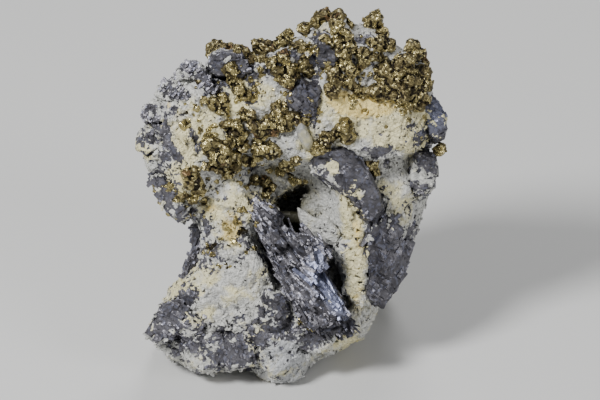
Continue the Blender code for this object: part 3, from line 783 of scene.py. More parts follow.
def cut_corner(point: Triple, outward: Triple) -> None:
    """Cuts the opened shape off at a plane through a point, and closes the cut."""
    select_corners("SELECT")
    bpy.ops.mesh.bisect(plane_co=point, plane_no=outward, use_fill=True, clear_outer=True)


def quartz_point_shape() -> Shape:
    """Models a six-sided quartz crystal with a pointed end, one unit across."""
    add = bpy.ops.mesh.primitive_cylinder_add
    crystal = opened_primitive(add, vertices=6, radius=0.5, depth=1.0, location=(0, 0, 0.1))
    select_corners("DESELECT")
    set_mode("OBJECT")
    for face in crystal.data.polygons:
        face.select = face.normal.z > 0.9
    set_mode("EDIT")
    bpy.ops.mesh.poke(offset=0.48)
    cut_corner((0.3, 0.0, 0.8), (0.75, 0.2, 0.63))
    return Shape.taken_from(crystal)


def quartz_blade_shape() -> Shape:
    """Models a flat quartz blade that narrows to a slanted tip."""
    crystal = opened_primitive(bpy.ops.mesh.primitive_cube_add, size=1, location=(0, 0, 0.35))
    select_corners("SELECT")
    bpy.ops.transform.resize(value=(1.0, 0.34, 1.3))
    cut_corner((0.28, 0.0, 0.95), (0.8, 0.0, 0.6))
    cut_corner((-0.2, 0.0, 0.97), (-0.62, 0.3, 0.72))
    return Shape.taken_from(crystal)


def cleavage_chip_shape() -> Shape:
    """Models a galena chip: a low brick with two of its corners broken off."""
    chip = opened_primitive(bpy.ops.mesh.primitive_cube_add, size=1, location=(0, 0, 0))
    cut_corner((0.32, 0.26, 0.5), (0.74, 0.66, 0.12))
    cut_corner((-0.36, -0.1, 0.36), (-0.6, 0.1, 0.8))
    return Shape.taken_from(chip)


def brass_grain_shape() -> Shape:
    """Models a chalcopyrite crystal: a blunt wedge of four large faces with small ones between."""
    add = bpy.ops.mesh.primitive_ico_sphere_add
    crystal = opened_primitive(add, subdivisions=1, radius=0.66, location=(0, 0, 0))
    for outward in ((1, 1, 1), (1, -1, -1), (-1, 1, -1), (-1, -1, 1)):
        cut_corner(tuple(part * 0.2 for part in outward), outward)
    return Shape.taken_from(crystal)


def smoothness(surface: Surface) -> Array:
    """Tells how smooth a surface stays, from 0 to 1 at each point."""
    return surface.zone(Zone.SMOOTH).clip(0, 1)


@dataclass
class RefinedSolid:
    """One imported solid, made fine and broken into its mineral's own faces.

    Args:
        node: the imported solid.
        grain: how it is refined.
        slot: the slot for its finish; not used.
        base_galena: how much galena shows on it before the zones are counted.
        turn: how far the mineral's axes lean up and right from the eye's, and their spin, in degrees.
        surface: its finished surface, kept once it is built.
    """

    node: str
    grain: Grain
    slot: str
    base_galena: float
    turn: Triple = (0.0, 0.0, 0.0)
    surface: Surface | None = None

    def build(self) -> Thing:
        """Makes the piece's mesh and marks its zones.

        Returns:
            The finished piece, without a material.
        """
        piece = copied_solid(self.node, f"{self.node}_surface")
        self.add_to(piece)
        apply_modifier(piece, "REMESH", mode="VOXEL", voxel_size=self.grain.voxel * MM)
        surface = Surface(piece)
        self.surface = surface
        smooth = smoothness(surface)
        surface.move_to(surface.points + surface.normals * self.grain.swell * MM)
        self.roughen(surface, smooth)
        self.break_up(surface, smooth)
        self.mark(surface)
        self.raise_crust(surface)
        self.shade(piece)
        return piece

    def add_to(self, piece: Thing) -> None:
        """Joins more bodies to the copied solid before it is made fine; a plain solid gets none."""

    def axes(self) -> Array:
        """Turns the mineral's axes as far as the piece says.

        Returns:
            The axes, as the columns of a turn.
        """
        lean_up, lean_right, spin = (math.radians(angle) for angle in self.turn)
        leaning = Matrix.Rotation(lean_right, 3, "Y") @ Matrix.Rotation(-lean_up, 3, "X")
        return SEEN.basis() @ np.array(leaning @ Matrix.Rotation(spin, 3, "Z"))

    def roughen(self, surface: Surface, smooth: Array) -> None:
        """Gives the surface soft unevenness, small holes and the porous ridge's ribs.

        Args:
            surface: the surface.
            smooth: from 0, where it stays rough, to 1, where it stays smooth.
        """
        size, height = self.grain.lumps
        places = surface.points / MM
        rise = (layered_noise(places, size, 3, LUMP_SEED) - 0.5) * 2 * height * (1 - 0.7 * smooth)
        size, share, depth = self.grain.pits
        cells, away = nearest_cells(places / size, PIT_SEED)
        open_here = hashed(cells, PIT_SEED + 7) < share
        rise -= np.where(open_here, np.clip(1 - away / 0.6, 0, 1) * depth, 0) * (1 - 0.8 * smooth)
        porous = surface.zone(Zone.POROUS).clip(0, 1)
        across, up, _ = SEEN.read(surface.points)
        seen = np.stack([across / RIB_CELLS[0], up / RIB_CELLS[1], np.full(len(up), 0.5)], axis=1)
        cells, away = nearest_cells(seen, RIB_SEED)
        open_here = hashed(cells, RIB_SEED + 3) < RIB_SHARE
        rise -= np.where(open_here, np.clip(2.6 - away / 0.17, 0, 1) * RIB_DEPTH, 0) * porous
        surface.raise_by(rise)

    def break_up(self, surface: Surface, smooth: Array) -> None:
        """Breaks the surface into flat faces, coarse ones first.

        Args:
            surface: the surface.
            smooth: from 0, where it breaks freely, to 1, where it stays nearly whole.
        """
        axes = self.axes()
        for facets in self.grain.facets:
            moved = facets.flatten(surface.points / MM, surface.normals, axes, smooth * 0.75)
            surface.move_to(moved * MM)

    def mark(self, surface: Surface) -> None:
        """Stores what each point is made of, and where shade is painted: deep in the hollow and in the
        crevices.

        Args:
            surface: the surface.
        """
        surface.mark("galena", PATCHWORK.level(surface, self.base_galena))
        stain = layered_noise(surface.points / MM, 5.0, 3, STAIN_SEED) - 0.5
        back = np.clip(-surface.normals @ SEEN.toward_eye(), 0, 1) * 0.3
        surface.mark("cream", surface.zone(Zone.CREAM) + stain * 1.3 + 0.12 + back)
        surface.mark("orange", surface.zone(Zone.ORANGE) + stain * 0.7 - 0.1 + back * 0.4)
        for zone in (Zone.GLASSY, Zone.BLUE, Zone.DARK):
            surface.mark(zone.value, surface.zone(zone))
        # Painted shade deep in the hollow: the hollow's zone, stronger the further a point lies behind the
        # face.
        deep = np.clip((-SEEN.read(surface.points)[2] - 3) / 7, 0, 1)
        surface.mark("hollow", surface.zone(Zone.HOLLOW) * deep)
        # Painted shade in the crevices: the materials darken where the surface lies under its smoothed
        # self.
        surface.mark("crevice", surface.crevices(self.grain.crevice_rounds, self.grain.crevice_depth))

    def raise_crust(self, surface: Surface) -> None:
        """Lets quartz stand above the galena beside it."""
        quartz = np.clip((GALENA_LINE - surface.values["galena"]) * 12 + 0.5, 0, 1)
        surface.raise_by((quartz - 0.5) * self.grain.crust)

    def shade(self, piece: Thing) -> None:
        """Thins the mesh where it is too fine and keeps the edges between faces sharp.

        Args:
            piece: the piece.
        """
        triangles = 2 * len(piece.data.polygons)
        if 0 < self.grain.most_faces < triangles:
            apply_modifier(piece, "DECIMATE", ratio=self.grain.most_faces / triangles)
        make_active(piece)
        if self.grain.smooth_angle > 0:
            bpy.ops.object.shade_smooth_by_angle(angle=math.radians(self.grain.smooth_angle))
        else:
            bpy.ops.object.shade_flat()

    def dress(self, piece: Thing, material: bpy.types.Material) -> None:
        """Gives the piece its material and puts it in the place of its solid.

        Args:
            piece: the piece.
            material: its finish.
        """
        dress_piece(piece, material)
        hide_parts(self.node)


def mesh_of_triangles(name: str, places: Array, triangles: Array) -> bpy.types.Mesh:
    """Makes a mesh with flat faces.

    Args:
        name: the mesh's name.
        places: its corners, in metres.
        triangles: the three corners of each triangle.

    Returns:
        The mesh.
    """
    mesh = bpy.data.meshes.new(name)
    mesh.vertices.add(len(places))
    mesh.vertices.foreach_set("co", places.astype(np.float32).ravel())
    mesh.loops.add(triangles.size)
    mesh.loops.foreach_set("vertex_index", triangles.ravel().astype(np.int32))
    mesh.polygons.add(len(triangles))
    mesh.polygons.foreach_set("loop_start", np.arange(0, triangles.size, 3, dtype=np.int32))
    mesh.update(calc_edges=True)
    mesh.shade_flat()
    return mesh


def join_bodies(piece: Thing, shape: Shape, places: Array) -> None:
    """Joins copies of a shape to a piece.

    Args:
        piece: the piece that takes them.
        shape: the copied shape.
        places: the corners of each copy, in metres, as copies by corners by 3.
    """
    mesh = mesh_of_triangles("added", places.reshape(-1, 3), shape.repeated(len(places)))
    added = linked("added", mesh)
    make_active(piece)
    added.select_set(True)
    bpy.ops.object.join()


def within_box(bodies: Array) -> Array:
    """Tells which bodies, given as their corners in metres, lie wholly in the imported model's box."""
    low, high = (np.array(corner) for corner in CAD_BOX)
    return ((bodies >= low) & (bodies <= high)).all(axis=(1, 2))


def seated(bodies: Array, solids: list[RefinedSolid]) -> Array:
    """Tells which bodies lie against the solids with no corner standing out into the air.

    Args:
        bodies: the corners of each body, in metres.
        solids: the refined solids that they grow on.

    Returns:
        True for each body that is well seated.
    """
    places = np.concatenate([solid.surface.points for solid in solids])
    normals = np.concatenate([solid.surface.normals for solid in solids])
    tree = KDTree(len(places))
    for number, place in enumerate(places):
        tree.insert(place, number)
    tree.balance()
    found = [tree.find(corner) for corner in bodies.reshape(-1, 3)]
    numbers = np.array([number for _, number, _ in found])
    out = ((bodies.reshape(-1, 3) - places[numbers]) * normals[numbers]).sum(axis=1)
    far = np.array([distance for _, _, distance in found])
    standing = (out > 0) & (far > MOST_STANDING * MM)
    return ~standing.reshape(bodies.shape[:2]).any(axis=1)


class FrontFinder:
    """Finds where the eye meets a piece."""

    def __init__(self, piece: Thing) -> None:
        """Reads the piece's mesh."""
        self.tree = BVHTree.FromPolygons(
            [corner.co for corner in piece.data.vertices], [face.vertices for face in piece.data.polygons]
        )

    def at(self, across: float, up: float) -> Array:
        """Looks at the piece along one line of sight.

        Args:
            across: how far right of the foot it looks.
            up: how far above the foot it looks.

        Returns:
            The first point met, in millimetres, or the piece's nearest one where it is missed.
        """
        hit = self.tree.ray_cast(SEEN.place(across, up, FAR_RELIEF), Vector(-SEEN.toward_eye()))[0]
        if hit is None:
            hit = self.tree.find_nearest(SEEN.place(across, up, 0.0))[0]
        return np.array(hit) / MM


def random_turns(draws: np.random.Generator, count: int) -> Array:
    """Draws turns that point every way alike.

    Args:
        draws: the random draws.
        count: how many turns to draw.

    Returns:
        One 3 by 3 matrix for each turn.
    """
    first = unit(draws.normal(0, 1, (count, 3)))
    second = unit(np.cross(first, unit(draws.normal(0, 1, (count, 3)))))
    return np.stack([first, second, np.cross(first, second)], axis=2)


@dataclass
class CrystalGroup(RefinedSolid):
    """A group of chalcopyrite crystals, each a blunt wedge with smaller ones grown on it.

    Args:
        crystals: each crystal's across, up and width.
        shape: the shape of one crystal.
        small_crystals: how many smaller crystals grow on each.
        small_sizes: the smaller ones' least and greatest width, as shares of the large one's.
        depth: how far a crystal's middle lies behind its front, as a share of its width.
        shrink: how far the copied solid draws back, so that the crystals stand apart.
        centres: where the crystals' middles are, in millimetres, filled in as they are built.
    """

    crystals: tuple[Triple, ...] = ()
    shape: Shape | None = None
    small_crystals: int = 4
    small_sizes: tuple[float, float] = (0.26, 0.5)
    depth: float = 0.42
    shrink: float = 0.7
    centres: list[Array] = field(default_factory=list)

    def add_to(self, piece: Thing) -> None:
        """Joins the crystals to the copied solid, in the places of its own coarse ones.

        Args:
            piece: the copied solid.
        """
        seed = int(sum(abs(part) for crystal in self.crystals for part in crystal) * 10)
        draws = np.random.default_rng(seed)
        front = FrontFinder(piece)
        surface = Surface(piece)
        surface.move_to(surface.points - surface.normals * self.shrink * MM)
        bodies = []
        for across, up, width in self.crystals:
            centre = front.at(across, up) - SEEN.toward_eye() * width * self.depth
            self.centres.append(centre)
            bodies.append(self.body(centre, width * 1.04, random_turns(draws, 1)[0], draws))
            for away in unit(draws.normal(0, 1, (self.small_crystals, 3))):
                size = width * draws.uniform(*self.small_sizes)
                self.centres.append(centre + away * width * self.depth)
                bodies.append(self.body(self.centres[-1], size, random_turns(draws, 1)[0], draws))
        join_bodies(piece, self.shape, np.stack(bodies))

    def mark(self, surface: Surface) -> None:
        """Adds each crystal's own tone, and painted shade in the seams where two crystals meet.

        Args:
            surface: the surface.
        """
        super().mark(surface)
        points = surface.points / MM
        nearest = np.full(len(points), np.inf)
        second = np.full(len(points), np.inf)
        tone = np.zeros(len(points))
        tones = np.random.default_rng(len(points)).random(len(self.centres))
        for centre, value in zip(self.centres, tones):
            away = np.linalg.norm(points - centre, axis=1)
            nearer = away < nearest
            second = np.where(nearer, nearest, np.minimum(second, away))
            tone = np.where(nearer, value, tone)
            nearest = np.where(nearer, away, nearest)
        # Painted shade in the seams where two crystals meet.
        seam_shade = np.clip(1 - (second - nearest) / 0.45, 0, 1)
        surface.mark("tone", tone)
        surface.mark("crevice", surface.values["crevice"] + 0.35 * seam_shade)

    def body(
        self, centre: Array, size: float, turn: Array, draws: np.random.Generator
    ) -> Array:
        """Gives one crystal's corners, in metres."""
        stretched = self.shape.corners * draws.uniform(0.85, 1.2, 3)
        return (centre + stretched @ turn.T * size) * MM


@dataclass(frozen=True)
class Slab:
    """A flat cleavage sheet or thin plate of quartz that stands out of a face.

    Args:
        outline: its corners' across and up.
        rise: how far its face stands out, at its middle.
        facing: how far its face looks up and right of the eye, in degrees; the surface's own if None.
        depth: how thick it is.
        relief: how near the eye its middle lies; on the piece's own front if None.
    """

    outline: tuple[tuple[float, float], ...]
    rise: float = 0.4
    facing: tuple[float, float] | None = None
    depth: float = 2.2
    relief: float | None = None

    def join_to(self, piece: Thing, front: FrontFinder) -> None:
        """Joins the slab to a piece, its face set by where the eye meets the piece at its corners.

        Args:
            piece: the piece.
            front: finds where the eye meets it.
        """
        spots = np.stack([front.at(across, up) for across, up in self.outline])
        middle = spots.mean(axis=0)
        if self.relief is not None:
            middle = np.array(SEEN.place(*np.array(self.outline).mean(axis=0), self.relief)) / MM
        local = np.array(self.outline) - np.array(self.outline).mean(axis=0)
        slope = self.slope(local, (spots - middle) @ SEEN.toward_eye())
        flat = local @ SEEN.basis()[:, :2].T + np.outer(local @ slope, SEEN.toward_eye())
        outward = unit(np.array([[-slope[0], -slope[1], 1.0]]))[0] @ SEEN.basis().T
        face = middle + flat + outward * self.rise
        count = len(face)
        corners = np.concatenate([face, face - outward * self.depth])
        turns = np.arange(count)
        after = (turns + 1) % count
        near = np.stack([turns, turns + count, after], axis=1)
        far = np.stack([after, turns + count, after + count], axis=1)
        sides = np.concatenate([near, far])
        top = np.array([(0, step, step + 1) for step in range(1, count - 1)])
        bottom = top[:, ::-1] + count
        faces = np.concatenate([top, bottom, sides])
        if self.turns_right():
            faces = faces[:, ::-1]
        join_bodies(piece, Shape(corners, faces), corners[None] * MM)

    def slope(self, local: Array, out: Array) -> Array:
        """Finds how the face rises toward the eye.

        Args:
            local: its corners' steps across and up from its middle.
            out: how far each corner on the piece lies nearer the eye than the middle.

        Returns:
            The rise for each millimetre across and up.
        """
        if self.facing is not None:
            up, right = self.facing
            return -np.tan(np.radians([right, up]))
        fitted, *_ = np.linalg.lstsq(local, out, rcond=None)
        return np.clip(fitted, -0.7, 0.7)

    def turns_right(self) -> bool:
        """Looks at which way round the outline's corners go.

        Returns:
            True if they go clockwise to the eye.
        """
        corners = np.array(self.outline)
        after = np.roll(corners, -1, axis=0)
        return float((corners[:, 0] * after[:, 1] - after[:, 0] * corners[:, 1]).sum()) < 0


@dataclass
class SlabbedSolid(RefinedSolid):
    """A piece with listed slabs: the rock, or a galena block.

    Args:
        slabs: the slabs.
    """

    slabs: tuple[Slab, ...] = ()

    def add_to(self, piece: Thing) -> None:
        """Joins the slabs to the copied solid.

        Args:
            piece: the copied solid.
        """
        front = FrontFinder(piece)
        for slab in self.slabs:
            slab.join_to(piece, front)


@dataclass(frozen=True)
class Bricks:
    """How cleavage bricks stand out of a galena block.

    Args:
        spacing: the usual room between two bricks.
        low: the smallest sizes along the mineral's three axes.
        high: the largest sizes.
        rise: how far the nearest face stands out.
        lean: how far a brick's axes may differ from the block's.
    """

    spacing: float = 1.1
    low: Triple = (0.7, 0.7, 0.6)
    high: Triple = (3.2, 2.6, 2.0)
    rise: tuple[float, float] = (0.0, 0.45)
    lean: float = 0.08


@dataclass
class CleavedBlock(SlabbedSolid):
    """A galena block with cleavage sheets and sharp cleavage bricks standing out of it.

    Args:
        bricks: how the bricks stand out.
        shape: the shape of one brick, one unit wide.
    """

    bricks: Bricks = Bricks()
    shape: Shape | None = None

    def build(self) -> Thing:
        """Makes the piece's mesh, marks its zones and joins the bricks to it.

        Returns:
            The finished piece, without a material.
        """
        piece = super().build()
        self.add_bricks(piece)
        return piece

    def add_bricks(self, piece: Thing) -> None:
        """Joins bricks wherever galena shows, each with the marks of the place it stands on.

        Args:
            piece: the piece.
        """
        surface = self.surface
        draws = np.random.default_rng(len(surface.points))
        smooth = smoothness(surface)
        open_here = draws.random(len(smooth)) > smooth * 0.97
        galena = (surface.values["galena"] > GALENA_LINE) & (surface.values["hollow"] < 0.2)
        order = draws.permutation(np.flatnonzero(galena & open_here))
        room = np.floor(surface.points[order] / (self.bricks.spacing * MM)).astype(np.int64)
        _, first = np.unique(cell_keys(room), return_index=True)
        numbers = order[np.sort(first)]
        if not len(numbers):
            return
        places = self.brick_corners(surface.points[numbers] / MM, surface.normals[numbers], draws)
        kept = within_box(places * MM)
        numbers, places = numbers[kept], places[kept]
        join_bodies(piece, self.shape, places * MM)
        fixed = {"galena": 1.0, "crevice": 0.4}
        for name, values in surface.values.items():
            added = np.full(len(numbers), fixed[name]) if name in fixed else values[numbers]
            added = np.repeat(added, len(self.shape.corners))
            keep_values(piece.data, name, np.concatenate([values, added]))
        log.info("%s: %d bricks on %d points", self.node, len(numbers), len(surface.points))

    def brick_corners(
        self, points: Array, normals: Array, draws: np.random.Generator
    ) -> Array:
        """Places a brick at each point.

        Args:
            points: the points, in millimetres.
            normals: the surface's normals there.
            draws: the random draws.

        Returns:
            The corners of each brick, in millimetres.
        """
        count = len(points)
        low, high = np.array(self.bricks.low), np.array(self.bricks.high)
        sizes = low + (high - low) * draws.random((count, 3)) ** 2.0
        small = draws.normal(0, self.bricks.lean, (count, 3))
        axes = np.broadcast_to(self.axes(), (count, 3, 3))
        first = unit(axes[:, :, 0] + axes[:, :, 1] * small[:, :1] + axes[:, :, 2] * small[:, 1:2])
        second = axes[:, :, 1] + axes[:, :, 2] * small[:, 2:]
        third = unit(np.cross(first, second))
        turned = np.stack([first, np.cross(third, first), third], axis=2)
        reach = (np.abs(np.einsum("na,nab->nb", normals, turned)) * sizes).sum(axis=1) / 2
        centres = points + normals * (draws.uniform(*self.bricks.rise, count) - reach)[:, None]
        flips = draws.choice([-1.0, 1.0], (count, 3))
        flips[:, 2] = flips[:, 0] * flips[:, 1]
        local = self.shape.corners[None] * (sizes * flips)[:, None]
        return centres[:, None] + np.einsum("nab,ncb->nca", turned, local)


@dataclass(frozen=True)
class SmallCrystals:
    """Many small crystals of one shape, joined as one piece.

    Args:
        name: the piece's name.
        slot: the slot for its finish; not used.
        spacing: the least room between two crystals.
        size: the smallest and largest width.
        length: the shortest and longest length, as a share of the width.
        lean: how far a crystal leans from the surface's normal.
        sink: how deep its foot goes, as a share of its width.
        seed: which random draws.
        most: the most crystals.
        square: whether the crystals are bricks, sunk in and turned as their region's axes are.
        lying: whether the crystals lie along the surface instead of standing on it.
    """

    name: str
    slot: str
    spacing: float
    size: tuple[float, float]
    length: tuple[float, float]
    lean: float
    sink: float
    seed: int
    most: int
    square: bool = False
    lying: bool = False

    def choose(self, solids: list[RefinedSolid], chance: Chance) -> list[tuple[RefinedSolid, Array]]:
        """Chooses the surface points that crystals grow on, as build is told.

        Args:
            solids: the refined solids to grow on.
            chance: gives each point's chance of a crystal.

        Returns:
            Each solid with the chosen points' numbers.
        """
        draws = np.random.default_rng(self.seed)
        chosen = []
        for solid in solids:
            surface = solid.surface
            wanted = chance(surface)
            order = draws.permutation(len(surface.points))
            order = order[draws.random(len(order)) < wanted[order]]
            room = np.floor(surface.points[order] / (self.spacing * MM)).astype(np.int64)
            _, first = np.unique(cell_keys(room), return_index=True)
            chosen.append((solid, order[np.sort(first)]))
        return chosen

    def build(self, shape: Shape, solids: list[RefinedSolid], chance: Chance) -> Thing:
        """Grows the crystals.

        Args:
            shape: the shape of one crystal.
            solids: the refined solids to grow on.
            chance: gives each point's chance of a crystal, from 0 to 1.

        Returns:
            The finished piece, without a material.
        """
        chosen = self.choose(solids, chance)
        share = min(1.0, self.most / max(1, sum(len(numbers) for _, numbers in chosen)))
        draws = np.random.default_rng(self.seed + 1)
        corners = []
        marks: dict[str, list[Array]] = {}
        for solid, numbers in chosen:
            numbers = numbers[draws.random(len(numbers)) < share]
            if not len(numbers):
                continue
            corners.append(self.place(shape, solid, numbers, draws))
            for name, values in solid.surface.values.items():
                marks.setdefault(name, []).append(np.repeat(values[numbers], len(shape.corners)))
        places = np.concatenate(corners)
        bodies = places.reshape(-1, len(shape.corners), 3)
        kept = within_box(bodies)
        if self.square:
            kept &= seated(bodies, [solid for solid, _ in chosen])
        spread = np.repeat(kept, len(shape.corners))
        held = {name: np.concatenate(values)[spread] for name, values in marks.items()}
        return self.join(shape, places[spread], held)

    def place(
        self, shape: Shape, solid: RefinedSolid, numbers: Array, draws: np.random.Generator
    ) -> Array:
        """Places a copy of the shape at each chosen point of one solid.

        Args:
            shape: the shape of one crystal.
            solid: the solid to grow on.
            numbers: the chosen points' numbers.
            draws: the random draws.

        Returns:
            The corners of all copies, in metres.
        """
        count = len(numbers)
        width = self.size[0] + (self.size[1] - self.size[0]) * draws.random(count) ** 2.2
        length = width * draws.uniform(*self.length, count)
        breadth = width * draws.uniform(0.75, 1.25, count)
        normals = solid.surface.normals[numbers]
        up = unit(normals + draws.normal(0, self.lean, (count, 3)))
        side = unit(np.cross(up, unit(draws.normal(0, 1, (count, 3)))))
        other = np.cross(up, side)
        if self.lying:
            side, other, up = other, up, side
        points = solid.surface.points[numbers] / MM
        rise = -width * self.sink
        if self.square:
            side, other, up = self.regional_axes(points)
            width, length, breadth = self.brick(width, draws)
            reach = sum(
                np.abs((normals * axis).sum(axis=1)) * long / 2
                for axis, long in ((side, width), (other, breadth), (up, length))
            )
            rise = draws.uniform(*SQUARE_RISE, count) - reach
        local = shape.corners[None] * np.stack([width, breadth, length], axis=1)[:, None]
        turned = (
            local[..., :1] * side[:, None] + local[..., 1:2] * other[:, None] + local[..., 2:] * up[:, None]
        )
        feet = points + normals * rise[:, None]
        return ((feet[:, None] + turned) * MM).reshape(-1, 3)

    def regional_axes(self, points: Array) -> tuple[Array, Array, Array]:
        """Chooses one turn of the mineral's axes for each region.

        Args:
            points: places in millimetres.

        Returns:
            The three axes at each place.
        """
        cells, _ = nearest_cells(points / REGION, self.seed)
        first = unit(hashed_triple(cells, self.seed + 5) - 0.5)
        helper = unit(hashed_triple(cells, self.seed + 8) - 0.5)
        second = unit(np.cross(first, helper))
        return first, second, np.cross(first, second)

    def brick(self, width: Array, draws: np.random.Generator) -> tuple[Array, ...]:
        """Draws the three sides of square chips, one of them long.

        Args:
            width: the usual width of each chip.
            draws: the random draws.

        Returns:
            The chips' three sides.
        """
        sides = np.stack([width * draws.uniform(0.35, 1.0, len(width)) for _ in range(3)], axis=1)
        longest = draws.integers(0, 3, len(width))
        sides[np.arange(len(width)), longest] = width * draws.uniform(*self.length, len(width))
        return sides[:, 0], sides[:, 1], sides[:, 2]

    def join(self, shape: Shape, places: Array, marks: dict[str, Array]) -> Thing:
        """Joins all copies as one mesh.

        Args:
            shape: the shape of one crystal.
            places: the corners of all copies.
            marks: the values that each corner takes from the surface.

        Returns:
            The piece.
        """
        mesh = mesh_of_triangles(self.name, places, shape.repeated(len(places) // len(shape.corners)))
        for name, values in marks.items():
            keep_values(mesh, name, values)
        return linked(self.name, mesh)

    def dress(self, piece: Thing, material: bpy.types.Material) -> None:
        """Gives the piece its material.

        Args:
            piece: the piece.
            material: its finish.
        """
        dress_piece(piece, material)


class Nodes:
    """Builds a tree of shader nodes, each with its settings and its inputs' values or links."""

    def __init__(self, tree: bpy.types.NodeTree) -> None:
        """Starts with an empty tree."""
        self.tree = tree
        tree.nodes.clear()

    def add(self, kind: str, settings: dict[str, object] | None = None, **inputs: object) -> bpy.types.Node:
        """Adds a node.

        Args:
            kind: the node's type, without its ShaderNode prefix.
            settings: properties of the node itself.
            inputs: values or output sockets for its inputs, by name with _ for a space, or in1 for input 1.

        Returns:
            The node.
        """
        prefix = "NodeGroup" if kind in ("Input", "Output") else "ShaderNode"
        node = self.tree.nodes.new(prefix + kind)
        for name, value in (settings or {}).items():
            setattr(node, name, value)
        for name, value in inputs.items():
            number = name[2:] if name.startswith("in") else ""
            socket = node.inputs[int(number)] if number.isdigit() else node.inputs[name.replace("_", " ")]
            if isinstance(value, bpy.types.NodeSocket):
                self.tree.links.new(value, socket)
            else:
                socket.default_value = value
        return node

    def math(self, operation: str, first: object, second: object) -> object:
        """Adds a Math node and gives its output."""
        return self.add("Math", {"operation": operation}, in0=first, in1=second).outputs[0]

    def times(self, first: object, second: object) -> object:
        """Multiplies two numbers."""
        return self.math("MULTIPLY", first, second)

    def plus(self, first: object, second: object) -> object:
        """Adds two numbers."""
        return self.math("ADD", first, second)

    def group(self, tree: bpy.types.NodeTree, first: object, second: object) -> bpy.types.Node:
        """Adds a shared group with its two inputs."""
        return self.add("Group", {"node_tree": tree}, in0=first, in1=second)

    def mask(self, value: object, low: float, high: float) -> object:
        """Turns a value into a mask that rises from 0 at low to 1 at high."""
        node = self.add("MapRange", {"interpolation_type": "SMOOTHSTEP"}, in0=value, in1=low, in2=high)
        return node.outputs[0]

    def mix(self, share: object, first: object, second: object, blend: str = "MIX") -> object:
        """Mixes two colours and gives the mixed one."""
        node = self.add("Mix", {"data_type": "RGBA", "blend_type": blend}, in0=share, in6=first, in7=second)
        return node.outputs[2]

    def mix_values(self, share: object, first: object, second: object) -> object:
        """Mixes two numbers and gives the mixed one."""
        return self.add("Mix", {"data_type": "FLOAT"}, in0=share, in2=first, in3=second).outputs[0]

    def value_of(self, name: str) -> object:
        """Reads a number that the mesh keeps for each point."""
        return self.add("Attribute", {"attribute_name": name}).outputs["Fac"]

    def place(self) -> object:
        """Gives the place on the piece, in metres."""
        return self.add("TexCoord").outputs["Object"]

    def noise(self, place: object, per_mm: float, detail: float = 3.0, rough: float = 0.55) -> object:
        """Gives noise whose broadest swells come the stated number of times in a millimetre."""
        node = self.add("TexNoise", None, Vector=place, Scale=per_mm / MM, Detail=detail, Roughness=rough)
        return node.outputs["Fac"]

    def cells(self, place: object, per_metre: object) -> bpy.types.Node:
        """Adds a Voronoi texture with the stated number of cells in a metre."""
        return self.add("TexVoronoi", {"feature": "F1"}, Vector=place, Scale=per_metre)

    def finish(self, **inputs: object) -> bpy.types.Node:
        """Adds the material's shader, joined to its output."""
        shader = self.add("BsdfPrincipled", None, **inputs)
        self.add("OutputMaterial", None, Surface=shader.outputs[0])
        return shader


def new_material(name: str) -> tuple[bpy.types.Material, Nodes]:
    """Makes a material with an empty tree of nodes.

    Args:
        name: its name.

    Returns:
        The material and its nodes.
    """
    material = bpy.data.materials.new(name)
    material.use_nodes = True
    return material, Nodes(material.node_tree)


def scattered_specks(nodes: Nodes, place: object, per_metre: object, share: object) -> Sockets:
    """Scatters small ragged grains, thick in some patches and thin in others, as a mask."""
    fine = nodes.add("TexNoise", None, Vector=place, Scale=per_metre, Detail=2.0, Roughness=0.6)
    patch = nodes.times(nodes.noise(place, 0.25, 2.0), 0.35)
    return [nodes.mask(nodes.plus(nodes.plus(fine.outputs["Fac"], patch), share), 0.985, 1.015)]


def broken_grain(nodes: Nodes, place: object, per_metre: object, roughness: object) -> Sockets:
    """Breaks a surface into crystal grains with finer ones on them, as a height and a shade."""
    shove = nodes.add("TexNoise", None, Vector=place, Scale=700.0, Detail=2.0).outputs["Color"]
    bent = nodes.add("MixRGB", {"blend_type": "ADD"}, in0=0.0006, in1=place, in2=shove).outputs[0]
    coarse = nodes.cells(bent, per_metre)
    finer = nodes.times(per_metre, 1.7)
    fine = nodes.add("TexNoise", None, Vector=place, Scale=finer, Detail=4.0, Roughness=roughness)
    height = nodes.plus(coarse.outputs["Distance"], fine.outputs["Fac"])
    return [height, nodes.add("SeparateColor", None, Color=coarse.outputs["Color"]).outputs[1]]


def facet_glints(nodes: Nodes, place: object, per_metre: object, lean: object) -> Sockets:
    """Turns tiny flat faces a little, each its own way, so that some catch the light, as a normal."""
    own = nodes.cells(place, per_metre).outputs["Color"]
    leaning = nodes.add("VectorMath", {"operation": "SUBTRACT"}, in0=own, in1=(0.5, 0.5, 0.5)).outputs[0]
    scaled = nodes.add("VectorMath", {"operation": "SCALE"}, in0=leaning, Scale=lean).outputs[0]
    plain = nodes.add("NewGeometry").outputs["Normal"]
    turned = nodes.add("VectorMath", {"operation": "ADD"}, in0=plain, in1=scaled).outputs[0]
    return [nodes.add("VectorMath", {"operation": "NORMALIZE"}, in0=turned).outputs[0]]


def cleavage_lines(nodes: Nodes, place: object, per_metre: object, detail: object) -> Sockets:
    """Draws two sets of lines where sheets end, each in its own patches, as a mask."""
    masks = []
    for turn in ((0.5, 0.9, 0.3), (-0.8, 0.3, 0.7)):
        turned = nodes.add("Mapping", None, Vector=place, Rotation=turn).outputs[0]
        settings = {"Scale": per_metre, "Distortion": 0.6, "Detail": detail}
        wave = nodes.add("TexWave", {"wave_profile": "SAW"}, Vector=turned, **settings)
        masks.append(nodes.mask(wave.outputs["Fac"], 0.55, 0.95))
    return [nodes.mix_values(nodes.mask(nodes.noise(place, 0.45, 2.0), 0.42, 0.6), *masks)]


